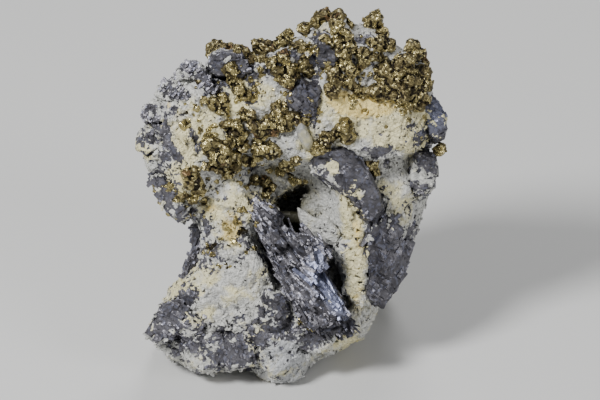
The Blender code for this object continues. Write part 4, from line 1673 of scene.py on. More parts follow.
def shared_group(fill: Callable[..., Sockets]) -> bpy.types.NodeTree:
    """Makes a shader group with two number inputs, the first of them a number per metre.

    Args:
        fill: adds the group's nodes and gives the sockets that go out; the group takes its name.

    Returns:
        The group.
    """
    group = bpy.data.node_groups.new(fill.__name__, "ShaderNodeTree")
    for label in ("Per Metre", "Amount"):
        group.interface.new_socket(label, in_out="INPUT", socket_type="NodeSocketFloat")
    nodes = Nodes(group)
    sockets = fill(nodes, nodes.place(), *nodes.add("Input").outputs[:2])
    for number, socket in enumerate(sockets):
        kind = {"VALUE": "NodeSocketFloat", "VECTOR": "NodeSocketVector"}[socket.type]
        group.interface.new_socket(f"Result {number + 1}", in_out="OUTPUT", socket_type=kind)
    nodes.add("Output", None, **{f"in{number}": socket for number, socket in enumerate(sockets)})
    return group


@dataclass(frozen=True)
class RockFinish:
    """Quartz with galena in it, told apart by the mesh's own values.

    Args:
        name: the material's name.
        quartz, shaded_quartz, glass: the colours of clean, shaded and glassy quartz.
        cream, orange: the colours of its stains.
        galena, dark_galena_and_shade, blue_galena_and_sheen: the colours of clean galena, of dark galena,
        which also paints the shade in crevices, and of bluish galena with painted sheen.
        speck, hollow: the colours of the dark specks and of the painted shade deep in the hollow.
        transparency: how much light passes through, for clear crystals.
        glint: how far galena's tiny faces lean.
        windows: how freely small windows open between quartz and galena.
        specks: the share of dark specks.
        relief: the strength of the fine relief.
        relief_depth: the height of the fine relief, in metres.
        grains, fine_specks, coarse_specks, lines, chips, glints: how many of each come in a metre.
    """

    name: str
    quartz: Colour = (0.63, 0.63, 0.59, 1)
    shaded_quartz: Colour = (0.27, 0.27, 0.27, 1)
    cream: Colour = (0.80, 0.73, 0.41, 1)
    orange: Colour = (0.86, 0.68, 0.25, 1)
    glass: Colour = (0.46, 0.47, 0.48, 1)
    galena: Colour = (0.165, 0.16, 0.178, 1)
    dark_galena_and_shade: Colour = (0.065, 0.062, 0.07, 1)
    blue_galena_and_sheen: Colour = (0.24, 0.26, 0.38, 1)
    speck: Colour = (0.02, 0.018, 0.016, 1)
    hollow: Colour = (0.05, 0.046, 0.02, 1)
    transparency: float = 0.0
    glint: float = 0.26
    windows: float = 0.34
    specks: float = 0.15
    relief: float = 0.8
    relief_depth: float = 0.00035
    grains: float = 1500.0
    fine_specks: float = 1300.0
    coarse_specks: float = 520.0
    lines: float = 320.0
    chips: float = 1250.0
    glints: float = 1700.0

    def build(self, groups: dict[str, bpy.types.NodeTree]) -> bpy.types.Material:
        """Makes the material.

        Args:
            groups: the shared shader groups.

        Returns:
            The material.
        """
        material, nodes = new_material(self.name)
        place = nodes.place()
        grain = nodes.group(groups["broken_grain"], self.grains, 0.6)
        lines = nodes.group(groups["cleavage_lines"], self.lines, 1.0)
        galena = self.galena_mask(nodes, place)
        stone = self.stone_colour(nodes, place, grain, groups["scattered_specks"])
        metal = self.metal_colour(nodes, place, grain, lines)
        colour = nodes.mix(galena, stone, metal)
        # Painted shade: crevices darken toward the dark galena colour, on quartz and galena alike.
        deep = nodes.times(nodes.mask(nodes.value_of("crevice"), 0.55, 0.9), 0.75)
        colour = nodes.mix(deep, colour, self.dark_galena_and_shade)
        # Painted shade: deep in the hollow the colour darkens to near black.
        colour = nodes.mix(nodes.value_of("hollow"), colour, self.hollow)
        dull = nodes.mix_values(nodes.value_of("glassy"), 0.62, 0.28)
        bright = nodes.mix_values(nodes.noise(place, 0.7, 2.0), 0.22, 0.6)
        rough = nodes.mix_values(galena, dull, bright)
        glints = nodes.group(groups["facet_glints"], self.glints, nodes.times(galena, self.glint))
        height = nodes.times(grain.outputs[0], nodes.mix_values(galena, 1.0, 0.35))
        shape = {"Strength": self.relief, "Distance": self.relief_depth, "Height": height}
        bump = nodes.add("Bump", None, Normal=glints.outputs[0], **shape).outputs[0]
        if self.transparency > 0:
            body = {"Transmission Weight": self.transparency}
        else:
            body = {"Metallic": nodes.times(galena, 0.65)}
        nodes.finish(Base_Color=colour, Roughness=rough, Normal=bump, IOR=1.54, **body)
        return material

    def galena_mask(self, nodes: Nodes, place: object) -> object:
        """Parts galena from quartz by the mesh's value, chip by chip along the line between them.

        Args:
            nodes: the material's nodes.
            place: the place on the piece.

        Returns:
            1 on galena and 0 on quartz.
        """
        chips = nodes.cells(place, self.chips)
        chance = nodes.add("SeparateColor", None, Color=chips.outputs["Color"]).outputs[0]
        edge = nodes.times(nodes.math("SUBTRACT", chance, 0.5), self.windows)
        return nodes.mask(nodes.plus(nodes.value_of("galena"), edge), 0.48, 0.52)

    def stone_colour(
        self, nodes: Nodes, place: object, grain: bpy.types.Node, spots: bpy.types.NodeTree
    ) -> object:
        """Mixes the colour of stained quartz with its dark specks.

        Args:
            nodes: the material's nodes.
            place: the place on the piece.
            grain: the fine relief, with a shade of its own for each grain.
            spots: the group that scatters specks.

        Returns:
            The colour.
        """
        fine = nodes.mask(nodes.noise(place, 1.1, 4.0, 0.65), 0.42, 0.66)
        colour = nodes.mix(nodes.times(fine, 0.6), self.quartz, self.shaded_quartz)
        colour = nodes.mix(nodes.mask(nodes.value_of("glassy"), 0.1, 0.9), colour, self.glass)
        patch = nodes.noise(place, 0.55, 3.0)
        cream = nodes.mask(nodes.plus(nodes.value_of("cream"), patch), 0.72, 1.2)
        colour = nodes.mix(nodes.times(cream, 0.85), colour, self.cream)
        orange = nodes.mask(nodes.plus(nodes.value_of("orange"), patch), 0.78, 1.3)
        colour = nodes.mix(nodes.times(orange, 0.9), colour, self.orange)
        shade = nodes.mix_values(grain.outputs[1], 0.82, 1.08)
        grey = nodes.add("CombineColor", None, in0=shade, in1=shade, in2=shade).outputs[0]
        colour = nodes.mix(1.0, colour, grey, "MULTIPLY")
        specks = nodes.group(spots, self.fine_specks, self.specks)
        holes = nodes.group(spots, self.coarse_specks, self.specks - 0.03)
        dark = nodes.math("MAXIMUM", specks.outputs[0], holes.outputs[0])
        return nodes.mix(dark, colour, self.speck)

    def metal_colour(
        self, nodes: Nodes, place: object, grain: bpy.types.Node, lines: bpy.types.Node
    ) -> object:
        """Mixes the colour of galena with its cleavage lines, its tarnish and its bluish tint with painted
        sheen.

        Args:
            nodes: the material's nodes.
            place: the place on the piece.
            grain: the fine relief, with a shade of its own for each grain.
            lines: the cleavage lines.

        Returns:
            The colour.
        """
        cloud = nodes.mask(nodes.noise(place, 0.3, 3.0), 0.35, 0.68)
        colour = nodes.mix(cloud, self.galena, self.dark_galena_and_shade)
        colour = nodes.mix(nodes.times(nodes.value_of("dark"), 0.75), colour, self.dark_galena_and_shade)
        # Galena's bluish tint with painted sheen, brighter where the cleavage faces shine.
        colour = nodes.mix(nodes.mask(nodes.value_of("blue"), 0.1, 0.8), colour, self.blue_galena_and_sheen)
        colour = nodes.mix(nodes.times(lines.outputs[0], 0.5), colour, self.dark_galena_and_shade)
        # Painted sparkle: random grains take a quarter of the bluish sheen colour.
        chip = nodes.mask(grain.outputs[1], 0.6, 1.0)
        return nodes.mix(nodes.times(chip, 0.25), colour, self.blue_galena_and_sheen)


@dataclass(frozen=True)
class BrassFinish:
    """Chalcopyrite: brassy where clean, brown and bronze where tarnished.

    Args:
        name: the material's name.
        brass, bronze, copper: the colours of clean, tarnished and reddish crystals.
        bright: the colour of the painted glints on a few random grains.
        soot_and_shade: the colour of the dark specks and of the painted shade in the crevices and seams.
        grains, specks, lines, glints: how many of each come in a metre.
        relief_depth: the height of the fine relief, in metres.
    """

    name: str = "tarnished_chalcopyrite"
    brass: Colour = (0.41, 0.345, 0.155, 1)
    bronze: Colour = (0.14, 0.112, 0.052, 1)
    bright: Colour = (0.85, 0.76, 0.42, 1)
    copper: Colour = (0.23, 0.13, 0.065, 1)
    soot_and_shade: Colour = (0.02, 0.015, 0.009, 1)
    grains: float = 1900.0
    specks: float = 1500.0
    lines: float = 500.0
    glints: float = 1700.0
    relief_depth: float = 0.0003

    def build(self, groups: dict[str, bpy.types.NodeTree]) -> bpy.types.Material:
        """Makes the material.

        Args:
            groups: the shared shader groups.

        Returns:
            The material.
        """
        material, nodes = new_material(self.name)
        grain = nodes.group(groups["broken_grain"], self.grains, 0.65)
        specks = nodes.group(groups["scattered_specks"], self.specks, 0.16)
        lines = nodes.group(groups["cleavage_lines"], self.lines, 1.0)
        tone = nodes.value_of("tone")
        uneven = nodes.times(nodes.noise(nodes.place(), 0.7, 4.0, 0.65), 1.3)
        tarnish = nodes.mask(nodes.plus(uneven, nodes.times(tone, 0.45)), 0.6, 1.1)
        colour = nodes.mix(tarnish, self.brass, self.bronze)
        colour = nodes.mix(nodes.times(nodes.mask(tone, 0.94, 0.98), 0.6), colour, self.copper)
        colour = nodes.mix(nodes.times(nodes.mask(grain.outputs[1], 0.3, 0.0), 0.6), colour, self.soot_and_shade)
        colour = nodes.mix(specks.outputs[0], colour, self.soot_and_shade)
        # Painted shade in the crevices and in the seams between crystals.
        colour = nodes.mix(nodes.mask(nodes.value_of("crevice"), 0.5, 0.78), colour, self.soot_and_shade)
        # Painted glints: a few random grains take a bright brass colour.
        colour = nodes.mix(nodes.times(nodes.mask(grain.outputs[1], 0.92, 0.95), 0.8), colour, self.bright)
        rough = nodes.mix_values(tarnish, 0.24, 0.46)
        height = nodes.plus(grain.outputs[0], nodes.times(lines.outputs[0], 0.6))
        glints = nodes.group(groups["facet_glints"], self.glints, 0.7)
        shape = {"Strength": 0.3, "Distance": self.relief_depth, "Height": height}
        bump = nodes.add("Bump", None, Normal=glints.outputs[0], **shape).outputs[0]
        nodes.finish(Base_Color=colour, Metallic=0.85, Roughness=rough, Normal=bump)
        return material


CRYSTALS: dict[str, tuple[Triple, ...]] = {
    "shoulder": ((-17.4, 82.8, 4.4), (-14.6, 83.2, 3.6), (-12, 82.2, 4.2), (-9.8, 80.8, 3.2)),
    "left_column": ((-14, 78, 3.3), (-13.4, 75.6, 3.0), (-12, 73.6, 3.6), (-10.5, 71.8, 2.8)),
    "left_trio": ((-18.5, 70, 3.4), (-16.2, 70.4, 3.0), (-16.2, 68, 3.2)),
    "belt": (
        (-19, 59.6, 4.8), (-16.8, 58.4, 5.0), (-18, 56.8, 3.5), (-14.8, 59.6, 3.0), (-15.4, 56, 3.5),
        (-13, 57.2, 3.2), (-13, 54.8, 3.2), (-11, 56, 3.2), (-9.2, 55.6, 2.6), (-15, 53.2, 3.1),
        (-17.2, 54, 2.8), (-20, 54.4, 2.5), (-15, 64.6, 3.0), (-12.6, 64, 3.5), (-13.6, 62, 3.0),
        (-11.4, 61.8, 3.6), (-11, 59.4, 3.3), (-10.6, 67.8, 2.5), (-9, 66.5, 3.3), (-7.4, 64, 3.9),
        (-6.8, 61.9, 3.0), (-4.4, 65, 4.4), (-1.9, 67.2, 4.4), (-1, 64.6, 4.2), (-3, 69, 2.6),
        (-3.6, 62.6, 2.8), (-6.2, 59, 5.0), (-4, 58.6, 4.6),
    ),
    "lobe_low": (
        (-25, 52.4, 2.8), (-23, 53.2, 2.4), (-22.6, 51, 3.0), (-24.2, 50, 3.2), (-22, 48.9, 3.2),
        (-23.6, 46.9, 3.2), (-26, 47.2, 2.4), (-21, 46.4, 2.4),
    ),
    "lip": ((-10.9, 48.9, 2.4), (-8, 50.9, 2.8), (-6, 50.6, 2.6), (-4.8, 49.4, 3.0), (-5.8, 47.8, 2.8)),
    "west_ridge": (
        (-7, 84, 3.5), (-4.6, 83.5, 3.5), (-6.4, 80.2, 3.0), (-4, 79.2, 2.6), (-1.1, 81, 3.5),
        (-0.5, 86.3, 3.4), (-2.3, 84.2, 2.8), (-2.6, 77.8, 2.8), (0.6, 78, 3.2), (0, 75.2, 3.7),
        (2, 76.6, 2.4),
    ),
    "peak": (
        (8.9, 91.2, 4.2), (12.6, 91, 3.8), (7, 90, 2.8), (12, 88.8, 3.5), (14.6, 89, 3.5),
        (14.2, 86.4, 3.6), (15, 84.2, 3.3), (12.2, 84.6, 3.2), (9.2, 85.4, 2.6), (13.6, 82.3, 4.0),
        (4, 88.2, 3.5),
    ),
    "crown": ((3.4, 83.5, 3.5), (1.4, 83.6, 2.5), (4, 79.2, 3.5), (5.2, 77.4, 2.4)),
    "tower": (
        (21.5, 90.2, 4.7), (23.2, 87, 3.0), (22.6, 84.2, 3.7), (20.8, 84.6, 2.5), (25, 84.2, 3.0),
        (18, 82, 3.2), (18.4, 79.6, 2.8), (20.2, 81, 2.7), (22.6, 81, 2.6),
    ),
    "centre": (
        (11, 77.6, 3.8), (11.6, 75.4, 4.2), (11, 73, 3.8), (14, 79.6, 3.0), (15.6, 77.8, 3.2),
        (15, 74.8, 2.6), (16.8, 73.6, 3.4), (18.6, 72.2, 2.6),
    ),
    "east": (
        (24.2, 76.2, 5.4), (26.8, 77.2, 4.2), (27.4, 74.2, 4.4), (31, 75, 4.4), (33.6, 74.4, 4.0),
        (22.6, 73, 4.4), (25.2, 72, 4.0), (28.4, 71.4, 4.0), (30.8, 72, 3.8), (33, 71.4, 3.8),
        (24, 79.2, 3.4), (20.6, 72.4, 3.6), (30, 69.4, 3.2), (32.2, 69.4, 3.4), (29.4, 75.4, 3.4),
        (30.6, 83.8, 4.0), (32, 81.6, 4.2), (33.2, 79.6, 4.0), (29.6, 80.2, 3.8), (27.2, 80, 3.4),
        (33.2, 77.2, 3.8), (30.2, 77.8, 3.8),
    ),
    "brow": (
        (13.8, 63.8, 4.4), (14.8, 61.8, 3.6), (9.6, 61, 3.9), (7.2, 58.6, 3.4), (9, 58.6, 2.9),
        (11, 62.6, 2.2),
    ),
    "dark_low": ((20.2, 55.4, 3.9), (21.4, 53.2, 2.6)),
    "edge_tip": ((37.8, 58.6, 3.2),),
    "mid_pair": ((1, 66.4, 3.4), (3.4, 65.2, 3.2)),
    "vug_brow": ((-0.2, 55, 3.4), (2, 56, 2.7), (-1.8, 53, 2.4)),
}

QUARTZ_ROCK_GRAIN = Grain(
    voxel=0.36,
    swell=0.12,
    lumps=(3.4, 0.35),
    facets=(Facets(3.4, 0.3, 0.6, 31, 0.7), Facets(1.5, 0.4, 0.2, 32, 0.7)),
    pits=(1.5, 0.2, 0.8),
    crust=0.4,
    smooth_angle=0.0,
    most_faces=195000,
    crevice_rounds=9,
    crevice_depth=0.3,
)
GALENA_GRAIN = Grain(
    voxel=0.28,
    swell=0.1,
    lumps=(3.0, 0.1),
    pits=(2.6, 0.1, 0.3),
    crust=0.3,
    smooth_angle=0.0,
    crevice_depth=0.22,
)
BRASS_GRAIN = Grain(
    voxel=0.2,
    swell=0.05,
    lumps=(1.2, 0.08),
    facets=(Facets(1.7, 0.3, 0.35, 52, 0.7), Facets(0.6, 0.3, 0.08, 53, 0.6)),
    pits=(1.0, 0.1, 0.35),
    smooth_angle=0.0,
    crevice_depth=0.3,
)
BLADE_GRAIN = Grain(
    voxel=0.3,
    swell=0.2,
    lumps=(2.5, 0.12),
    facets=(Facets(2.0, 0.12, 0.25, 61, 0.8),),
    pits=(1.5, 0.1, 0.2),
)

GALENA_TURNS: dict[str, Triple] = {
    "galena_cleavage_block": (13.0, -14.0, -49.0),
    "galena_centre_crystal": (28.0, 10.0, -40.0),
    "galena_flank": (0.0, 25.0, 60.0),
    "galena_dome": (25.0, -8.0, 10.0),
    "galena_neck_plate": (5.0, -30.0, 70.0),
    "galena_rim_1": (20.0, -15.0, -52.0),
    "galena_rim_2": (10.0, -25.0, -38.0),
    "galena_rim_3": (5.0, -25.0, -20.0),
    "galena_rim_4": (-5.0, -25.0, -8.0),
    "galena_rim_5": (-15.0, -20.0, 35.0),
}
BRICKS: dict[str, Bricks] = {
    "galena_cleavage_block": Bricks(1.05, (1.6, 0.35, 0.4), (7.5, 1.3, 1.4), (0.0, 0.4), 0.2),
    "galena_foot_right": Bricks(1.3, (1.0, 0.9, 0.8), (3.6, 2.8, 2.2), (0.1, 0.9), 0.15),
    "galena_foot_front": Bricks(1.3, (1.0, 0.9, 0.8), (3.6, 2.8, 2.2), (0.0, 0.7), 0.15),
    "galena_foot_left": Bricks(1.3, (1.0, 0.9, 0.8), (4.0, 2.8, 2.2), (0.0, 0.6), 0.12),
    "galena_centre_crystal": Bricks(1.5, (0.8, 0.8, 0.6), (3.6, 2.8, 2.0), (-0.05, 0.28), 0.2),
    "galena_dark_cubes": Bricks(1.3, (1.2, 1.2, 1.2), (2.8, 2.6, 2.4), (0.2, 1.1), 0.3),
    "galena_crown_block": Bricks(1.6, (1.5, 1.5, 1.2), (3.6, 3.2, 2.6), (0.1, 0.7), 0.1),
    "galena_right_crystal": Bricks(1.8, (1.4, 1.2, 1.2), (4.6, 3.6, 3.0), (0.0, 0.6), 0.1),
    "galena_dome": Bricks(1.3, (0.8, 0.8, 0.8), (3.4, 2.4, 2.0), (0.0, 0.3), 0.1),
    "galena_flank": Bricks(1.6, (1.2, 0.9, 0.8), (5.6, 3.8, 2.4), (0.0, 0.42), 0.16),
}
CLEAVAGE_SHEETS: dict[str, tuple[Slab, ...]] = {
    "galena_cleavage_block": (
        Slab(
            ((-4.6, 44), (-1.8, 43.4), (-1.8, 40.6), (0.6, 38.6),
             (3, 37), (0.2, 36.2), (-2.6, 38), (-5, 40.6)),
            0.5, (24, 16),
        ),
        Slab(
            ((-8, 42), (-5, 43), (-5, 40.5), (-2.5, 38), (-1.5, 34.8), (-4.4, 35.4), (-7, 38.2)),
            0.6, (4, -30),
        ),
        Slab(((0.6, 35.6), (4.2, 34.8), (5.8, 36), (3, 37.2)), 0.5, (40, 8)),
        Slab(
            ((-4.8, 34.8), (0.2, 34.8), (2.8, 32.2), (0.2, 29.8), (-1.8, 31), (-3.6, 33.2)),
            0.6, (8, -24),
        ),
        Slab(
            ((4.2, 34.8), (6, 36.2), (9.8, 35.6), (9.4, 31.6),
             (8.6, 28.6), (6.8, 28.8), (4.8, 30.8), (4, 33.2)),
            1.2, (3, -20),
        ),
        Slab(((-6.4, 31.6), (-3, 32.4), (2.6, 23), (-1.6, 20.6)), -0.9, (6, -34), 4.0),
        Slab(((-1.6, 21), (3, 22.6), (7, 16), (2, 13.6)), -0.6, (-6, -30), 4.0),
        Slab(((-1, 30), (0.6, 30.6), (7.6, 23.4), (6.6, 21.8), (0, 28)), 0.9, (18, -8)),
        Slab(((1.2, 32.8), (3, 32.6), (7, 27), (6.2, 25.2), (2.4, 30)), 0.9, (4, -20)),
        Slab(
            ((6.4, 26), (9.2, 27.8), (10.8, 27), (14.2, 21.2),
             (15.2, 17.2), (13, 16.6), (10.4, 19.2), (8, 22.4)),
            1.3, (2, -22),
        ),
        Slab(((10.8, 27), (13, 23.4), (18, 17.8), (16.8, 16.4), (14.4, 21)), 0.3, (0, 48)),
        Slab(((0, 25.6), (3, 25), (6.6, 21.6), (7.4, 19), (4, 19.6), (1, 22)), 0.7, (14, -6)),
        Slab(
            ((3, 19.6), (7.4, 19), (10.4, 18.6), (12.4, 16.6), (9.4, 14.4), (5.4, 15.4)),
            0.7, (-8, -18),
        ),
        Slab(((7, 16), (11, 15.4), (11, 11.8), (8, 12.4)), 0.9, (-28, 4)),
        Slab(((12.8, 16.4), (16.8, 16), (16.6, 13), (13.4, 13.4)), 0.7, (-8, 28)),
    ),
    "galena_centre_crystal": (
        Slab(((6.4, 57.6), (12, 59.8), (15.6, 58.4), (14, 52.4), (9, 53.4)), 0.6, (26, -4)),
        Slab(((14, 58.6), (18.4, 57), (20.4, 52), (16.8, 48.6), (13.4, 52.4)), 0.6, (2, 4)),
        Slab(((16, 49.4), (20.6, 51), (23.4, 45.4), (20.6, 40.6), (17.4, 43)), 0.5, (0, 10)),
        Slab(((9.4, 53), (13.4, 52), (16.4, 48), (14, 46.8)), 0.3, (-20, -22)),
    ),
    "galena_flank": (
        Slab(((18.6, 41.2), (22.2, 40.6), (20, 33.6), (18, 36)), 1.0, (-8, -30)),
        Slab(((22, 38), (27, 40), (28.6, 33), (24.6, 28)), 0.7, (6, 22)),
        Slab(((21, 31), (25.6, 28), (25, 21.6), (20.8, 22.6)), 0.7, (-14, 8)),
        Slab(((24, 45), (29, 44), (29.6, 38), (26, 37)), 0.6, (10, 10)),
        Slab(((19, 29), (21.6, 30), (22, 23), (19.6, 22)), 0.6, (0, -26)),
    ),
}
ROCK_SLABS = (
    Slab(
        ((-20, 50), (-16, 55.6), (-11.6, 56), (-10, 52), (-11, 47), (-13, 44), (-18, 45)),
        0.0, (20, 8), 7.0, -0.8,
    ),
    Slab(((-18.6, 49.4), (-13, 51.4), (-11, 47.6), (-14.6, 44.6)), 0.4, (4, -14), 4.0, 0.9),
    Slab(((-14, 8.4), (-11.2, 9), (-10.6, 6), (-13.4, 5.2)), 0.5, (13, -15), 2.0),
    Slab(((-17.6, 7.4), (-15.2, 8.2), (-14.6, 6), (-16.8, 5)), 0.4, (15, -12), 2.0),
    Slab(((-10.4, 5.4), (-8, 6.2), (-7.6, 4), (-9.6, 3.2)), 0.4, (11, -17), 2.0),
    Slab(
        ((-8, 26), (-3.4, 26), (1, 21), (5.4, 15), (3, 11), (-4, 12), (-9, 18)),
        0.0, (14, -10), 12.0, 0.6,
    ),
    Slab(((-3.4, 23.4), (-0.6, 23), (3.6, 17), (1.4, 13.6), (-3.4, 16.4)), 0.0, (-4, -24), 6.0, 1.8),
    Slab(((-7, 20), (-3, 19), (-2, 14.4), (-6, 13)), 0.0, (20, 14), 6.0, 1.6),
    Slab(((2.6, 15.4), (9, 13.6), (12, 10.4), (6, 7.6), (0.6, 10)), 0.0, (-14, 4), 8.0, 2.8),
    Slab(((-6.4, 9.4), (-1.6, 10), (0.4, 5.4), (-3.6, 2.4), (-7, 4.6)), 0.5, (14, -26), 3.0),
    Slab(((-1, 9.8), (4.4, 10.4), (5.6, 6), (1.2, 4)), 0.7, (22, 18), 3.0),
    Slab(((-2.6, 5.2), (1, 5.4), (3.6, 2.4), (-0.8, 0.8)), 0.6, (-16, 6), 3.0),
)
ROCK_GALENA = 0.15
BLOCK_GALENA = {
    "galena_rim": 0.12, "galena_dome": 0.5, "galena_foot": 0.14, "galena_crown_block": 0.6,
    "galena_flank": 0.75, "galena_right": 0.4, "galena_edge": 0.45, "galena_neck": 0.7,
}
BARE_GALENA = 1.3
NO_GALENA = -1.0


def nodes_of(mineral: str) -> list[str]:
    """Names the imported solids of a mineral, in order."""
    return sorted(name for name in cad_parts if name.startswith(f"{mineral}_"))


def build_all(solids: list[RefinedSolid], material: bpy.types.Material) -> list[RefinedSolid]:
    """Builds refined solids and gives them all one finish.

    Args:
        solids: the solids, not built yet.
        material: their finish.

    Returns:
        The same solids.
    """
    for solid in solids:
        solid.dress(solid.build(), material)
    return solids


@dataclass
class QuartzMatrix:
    """The broken quartz that carries everything else."""

    node: str = "quartz_matrix"
    grain: Grain = QUARTZ_ROCK_GRAIN

    def build(self, material: bpy.types.Material) -> list[RefinedSolid]:
        """Makes the rock's surface and dresses it."""
        solid = SlabbedSolid(self.node, self.grain, "quartz", ROCK_GALENA, slabs=ROCK_SLABS)
        return build_all([solid], material)


@dataclass
class GalenaBlocks:
    """The lead-grey galena crystals and cleavage blocks."""

    grain: Grain = GALENA_GRAIN

    def build(self, material: bpy.types.Material) -> list[RefinedSolid]:
        """Makes each block's surface and dresses it.

        Args:
            material: their finish.

        Returns:
            The refined solids.
        """
        blocks = []
        brick = cleavage_chip_shape()
        for number, node in enumerate(nodes_of("galena")):
            usual = (13.0 * number % 45, 29.0 * number % 45, 41.0 * number % 90)
            shares = (share for start, share in BLOCK_GALENA.items() if node.startswith(start))
            turn = GALENA_TURNS.get(node, usual)
            block = CleavedBlock(node, self.grain, "galena", next(shares, BARE_GALENA), turn)
            block.slabs = CLEAVAGE_SHEETS.get(node, ())
            block.bricks = BRICKS.get(node, block.bricks)
            block.shape = brick
            blocks.append(block)
        return build_all(blocks, material)


@dataclass
class ChalcopyriteGroups:
    """The brassy crystal groups."""

    grain: Grain = BRASS_GRAIN

    def build(self, material: bpy.types.Material) -> list[RefinedSolid]:
        """Makes each group's surface and dresses it.

        Args:
            material: their finish.

        Returns:
            The refined solids.
        """
        shape = brass_grain_shape()
        groups = []
        for node in nodes_of("chalcopyrite"):
            group = CrystalGroup(node, self.grain, "chalcopyrite", 0.0, shape=shape)
            group.crystals = CRYSTALS[node.removeprefix("chalcopyrite_")]
            groups.append(group)
        return build_all(groups, material)


@dataclass
class QuartzBlades:
    """The flat quartz blades in and over the hollow."""

    nodes: tuple[str, ...] = ("leaf_blade", "vug_blade", "brow_blade")
    milky_blade: str = "leaf_blade"
    grain: Grain = BLADE_GRAIN

    def build(self, milky: bpy.types.Material, clear: bpy.types.Material) -> None:
        """Makes each blade's surface and dresses it.

        Args:
            milky: the finish of the blade at the hollow's mouth.
            clear: the finish of the others.
        """
        for node in self.nodes:
            solid = RefinedSolid(node, self.grain, "quartz_blade", NO_GALENA)
            build_all([solid], milky if node == self.milky_blade else clear)


QUARTZ_POINTS = SmallCrystals("quartz_points", "quartz", 1.3, (0.3, 1.1), (0.8, 1.4), 0.6, 0.3, 71, 2600)
QUARTZ_LEAVES = SmallCrystals(
    "quartz_leaves", "quartz", 0.9, (0.4, 1.0), (1.3, 2.6), 0.2, 0.08, 72, 6500, lying=True
)
GALENA_CHIPS = SmallCrystals(
    "galena_chips", "galena", 1.3, (0.8, 3.0), (0.9, 1.5), 0.2, 0.16, 73, 3000, square=True
)
BRASS_SPRINKLE = SmallCrystals(
    "chalcopyrite_sprinkle", "chalcopyrite", 1.1, (0.7, 2.2), (0.7, 1.2), 0.5, 0.1, 75, 800
)
BRASS_GRAINS = SmallCrystals(
    "chalcopyrite_grains", "chalcopyrite", 1.2, (0.5, 1.2), (0.7, 1.2), 0.4, 0.1, 74, 900
)


@dataclass
class Studio:
    """The pale floor, the soft lights and the camera at the photograph's angle.

    Args:
        floor_size: the floor's width.
        lens: the camera's focal length, in millimetres.
        wide: how much of the scene the picture is across, in millimetres.
        aim: the across, up and relief at the picture's middle.
        lights: each light's name, place and width in metres, and power in watts.
    """

    floor_size: float = 9.0
    lens: float = 300.0
    wide: float = 150.0
    aim: Triple = (3.0, 46.0, -8.0)
    lights: tuple[tuple[str, Triple, float, float], ...] = (
        ("key_light", (-0.42, -0.38, 0.62), 0.2, 8.5),
        ("fill_light", (0.55, -0.42, 0.34), 0.3, 1.8),
        ("rim_light", (0.12, 0.5, 0.6), 0.3, 2.5),
    )

    def build(self) -> None:
        """Makes the whole studio."""
        self.add_floor()
        self.add_world()
        for light in self.lights:
            self.add_light(*light)
        self.add_camera()

    def add_floor(self) -> None:
        """Adds the plain floor that the specimen rests on."""
        deselect_all()
        bpy.ops.mesh.primitive_plane_add(size=self.floor_size, location=(0, 0, -0.0002))
        floor = bpy.context.object
        floor.name = "studio_floor"
        make_active(floor)
        bpy.ops.object.transform_apply(location=True, rotation=True, scale=True)
        material, nodes = new_material("pale_floor")
        patch = nodes.add("TexNoise", None, Vector=nodes.place(), Scale=3.0, Detail=2.0).outputs["Fac"]
        colour = nodes.mix(patch, (0.60, 0.60, 0.59, 1), (0.63, 0.63, 0.62, 1))
        nodes.finish(Base_Color=colour, Roughness=0.8)
        floor.data.materials.append(material)

    def add_world(self) -> None:
        """Lights the scene evenly and dimly from all round."""
        world = bpy.data.worlds.new("studio_air")
        world.use_nodes = True
        bpy.context.scene.world = world
        sky = world.node_tree.nodes["Background"]
        sky.inputs["Color"].default_value = (0.80, 0.82, 0.86, 1)
        sky.inputs["Strength"].default_value = 0.22

    def add_light(self, name: str, place: Triple, size: float, power: float) -> None:
        """Adds one soft light that faces the specimen.

        Args:
            name: the light's name.
            place: where it hangs, in metres.
            size: the width of its face, in metres.
            power: its power in watts.
        """
        deselect_all()
        toward = Vector((0, 0, 0.05)) - Vector(place)
        turn = toward.to_track_quat("-Z", "Y").to_euler()
        bpy.ops.object.light_add(type="AREA", location=place, rotation=turn)
        light = bpy.context.object
        light.name = name
        light.data.shape = "DISK"
        light.data.size = size
        light.data.energy = power

    def add_camera(self) -> None:
        """Adds the camera, level across and tilted down as the photograph's."""
        camera = bpy.data.cameras.new("photo_view")
        camera.lens = self.lens
        camera.sensor_width = 36.0
        camera.clip_start = 0.05
        camera.clip_end = 20.0
        away = self.wide * MM / (camera.sensor_width / self.lens)
        middle = SEEN.place(*self.aim)
        holder = linked("photo_view", camera)
        holder.location = middle + Vector(SEEN.toward_eye()) * away
        holder.rotation_euler = (math.pi / 2 - SEEN.tilt, 0, 0)
        bpy.context.scene.camera = holder


def patches(surface: Surface, size: float, seed: int) -> Array:
    """Gives patches of the stated size over a surface, from 0 to 1."""
    return layered_noise(surface.points / MM, size, 2, seed)


def rough_quartz(surface: Surface) -> Array:
    """Gives 1 on rough quartz, less where it is smoother, and 0 on galena."""
    return (surface.values["galena"] < 0.46) * (1 - smoothness(surface))


def chance_of_quartz_points(surface: Surface) -> Array:
    """Gives the chance of a quartz point: over rough quartz, in patches."""
    patch = patches(surface, 7.0, QUARTZ_SEED)
    return rough_quartz(surface) * np.clip((patch - 0.38) * 5 + surface.values["glassy"], 0, 1)


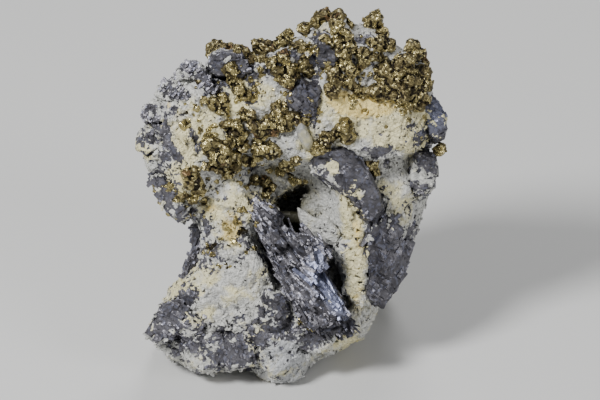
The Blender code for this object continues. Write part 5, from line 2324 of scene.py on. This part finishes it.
def chance_of_quartz_leaves(surface: Surface) -> Array:
    """Gives the chance of a quartz leaf: over rough quartz where there are few points."""
    return rough_quartz(surface) * np.clip((0.56 - patches(surface, 7.0, QUARTZ_SEED)) * 5, 0.1, 1)


def chance_of_galena_chips(surface: Surface) -> Array:
    """Gives the chance of a galena chip: wherever galena shows, in patches."""
    shown = (surface.values["galena"] > 0.54) & (surface.values["hollow"] < 0.2)
    return shown * np.clip((patches(surface, 5.0, CHIP_SEED) - 0.4) * 6, 0, 1)


def chance_of_brass_grains(surface: Surface) -> Array:
    """Gives the chance of a small chalcopyrite crystal on the large ones."""
    return np.clip((patches(surface, 3.0, GRAIN_SEED) - 0.45) * 5, 0, 1)


def chance_of_brass_sprinkle(surface: Surface) -> Array:
    """Gives the chance of a small chalcopyrite crystal on the rock round the large ones."""
    wanted = surface.zone(Zone.SPRINKLE).clip(0, 1)
    return wanted * np.clip((patches(surface, 2.6, SPRINKLE_SEED) - 0.46) * 5, 0, 1)


def main() -> None:
    """Builds the specimen and the studio in order."""
    logging.basicConfig(level=logging.INFO, format="%(name)s: %(message)s")
    fills = (scattered_specks, broken_grain, facet_glints, cleavage_lines)
    groups = {fill.__name__: shared_group(fill) for fill in fills}
    quartz = RockFinish("stained_quartz").build(groups)
    galena = RockFinish("crusted_galena", relief=0.35).build(groups)
    clear = RockFinish("clear_quartz", specks=0.02, transparency=0.45, relief=0.3).build(groups)
    brass = BrassFinish().build(groups)
    rock = QuartzMatrix().build(quartz)
    stone = rock + GalenaBlocks().build(galena)
    large = ChalcopyriteGroups().build(brass)
    QuartzBlades().build(quartz, clear)
    grain = brass_grain_shape()
    for crystals, shape, solids, chance, material in (
        (QUARTZ_POINTS, quartz_point_shape(), stone, chance_of_quartz_points, quartz),
        (QUARTZ_LEAVES, quartz_blade_shape(), stone, chance_of_quartz_leaves, quartz),
        (GALENA_CHIPS, cleavage_chip_shape(), rock, chance_of_galena_chips, galena),
        (BRASS_GRAINS, grain, large, chance_of_brass_grains, brass),
        (BRASS_SPRINKLE, grain, stone, chance_of_brass_sprinkle, brass),
    ):
        crystals.dress(crystals.build(shape, solids, chance), material)
    Studio().build()


if __name__ == "__main__":
    main()
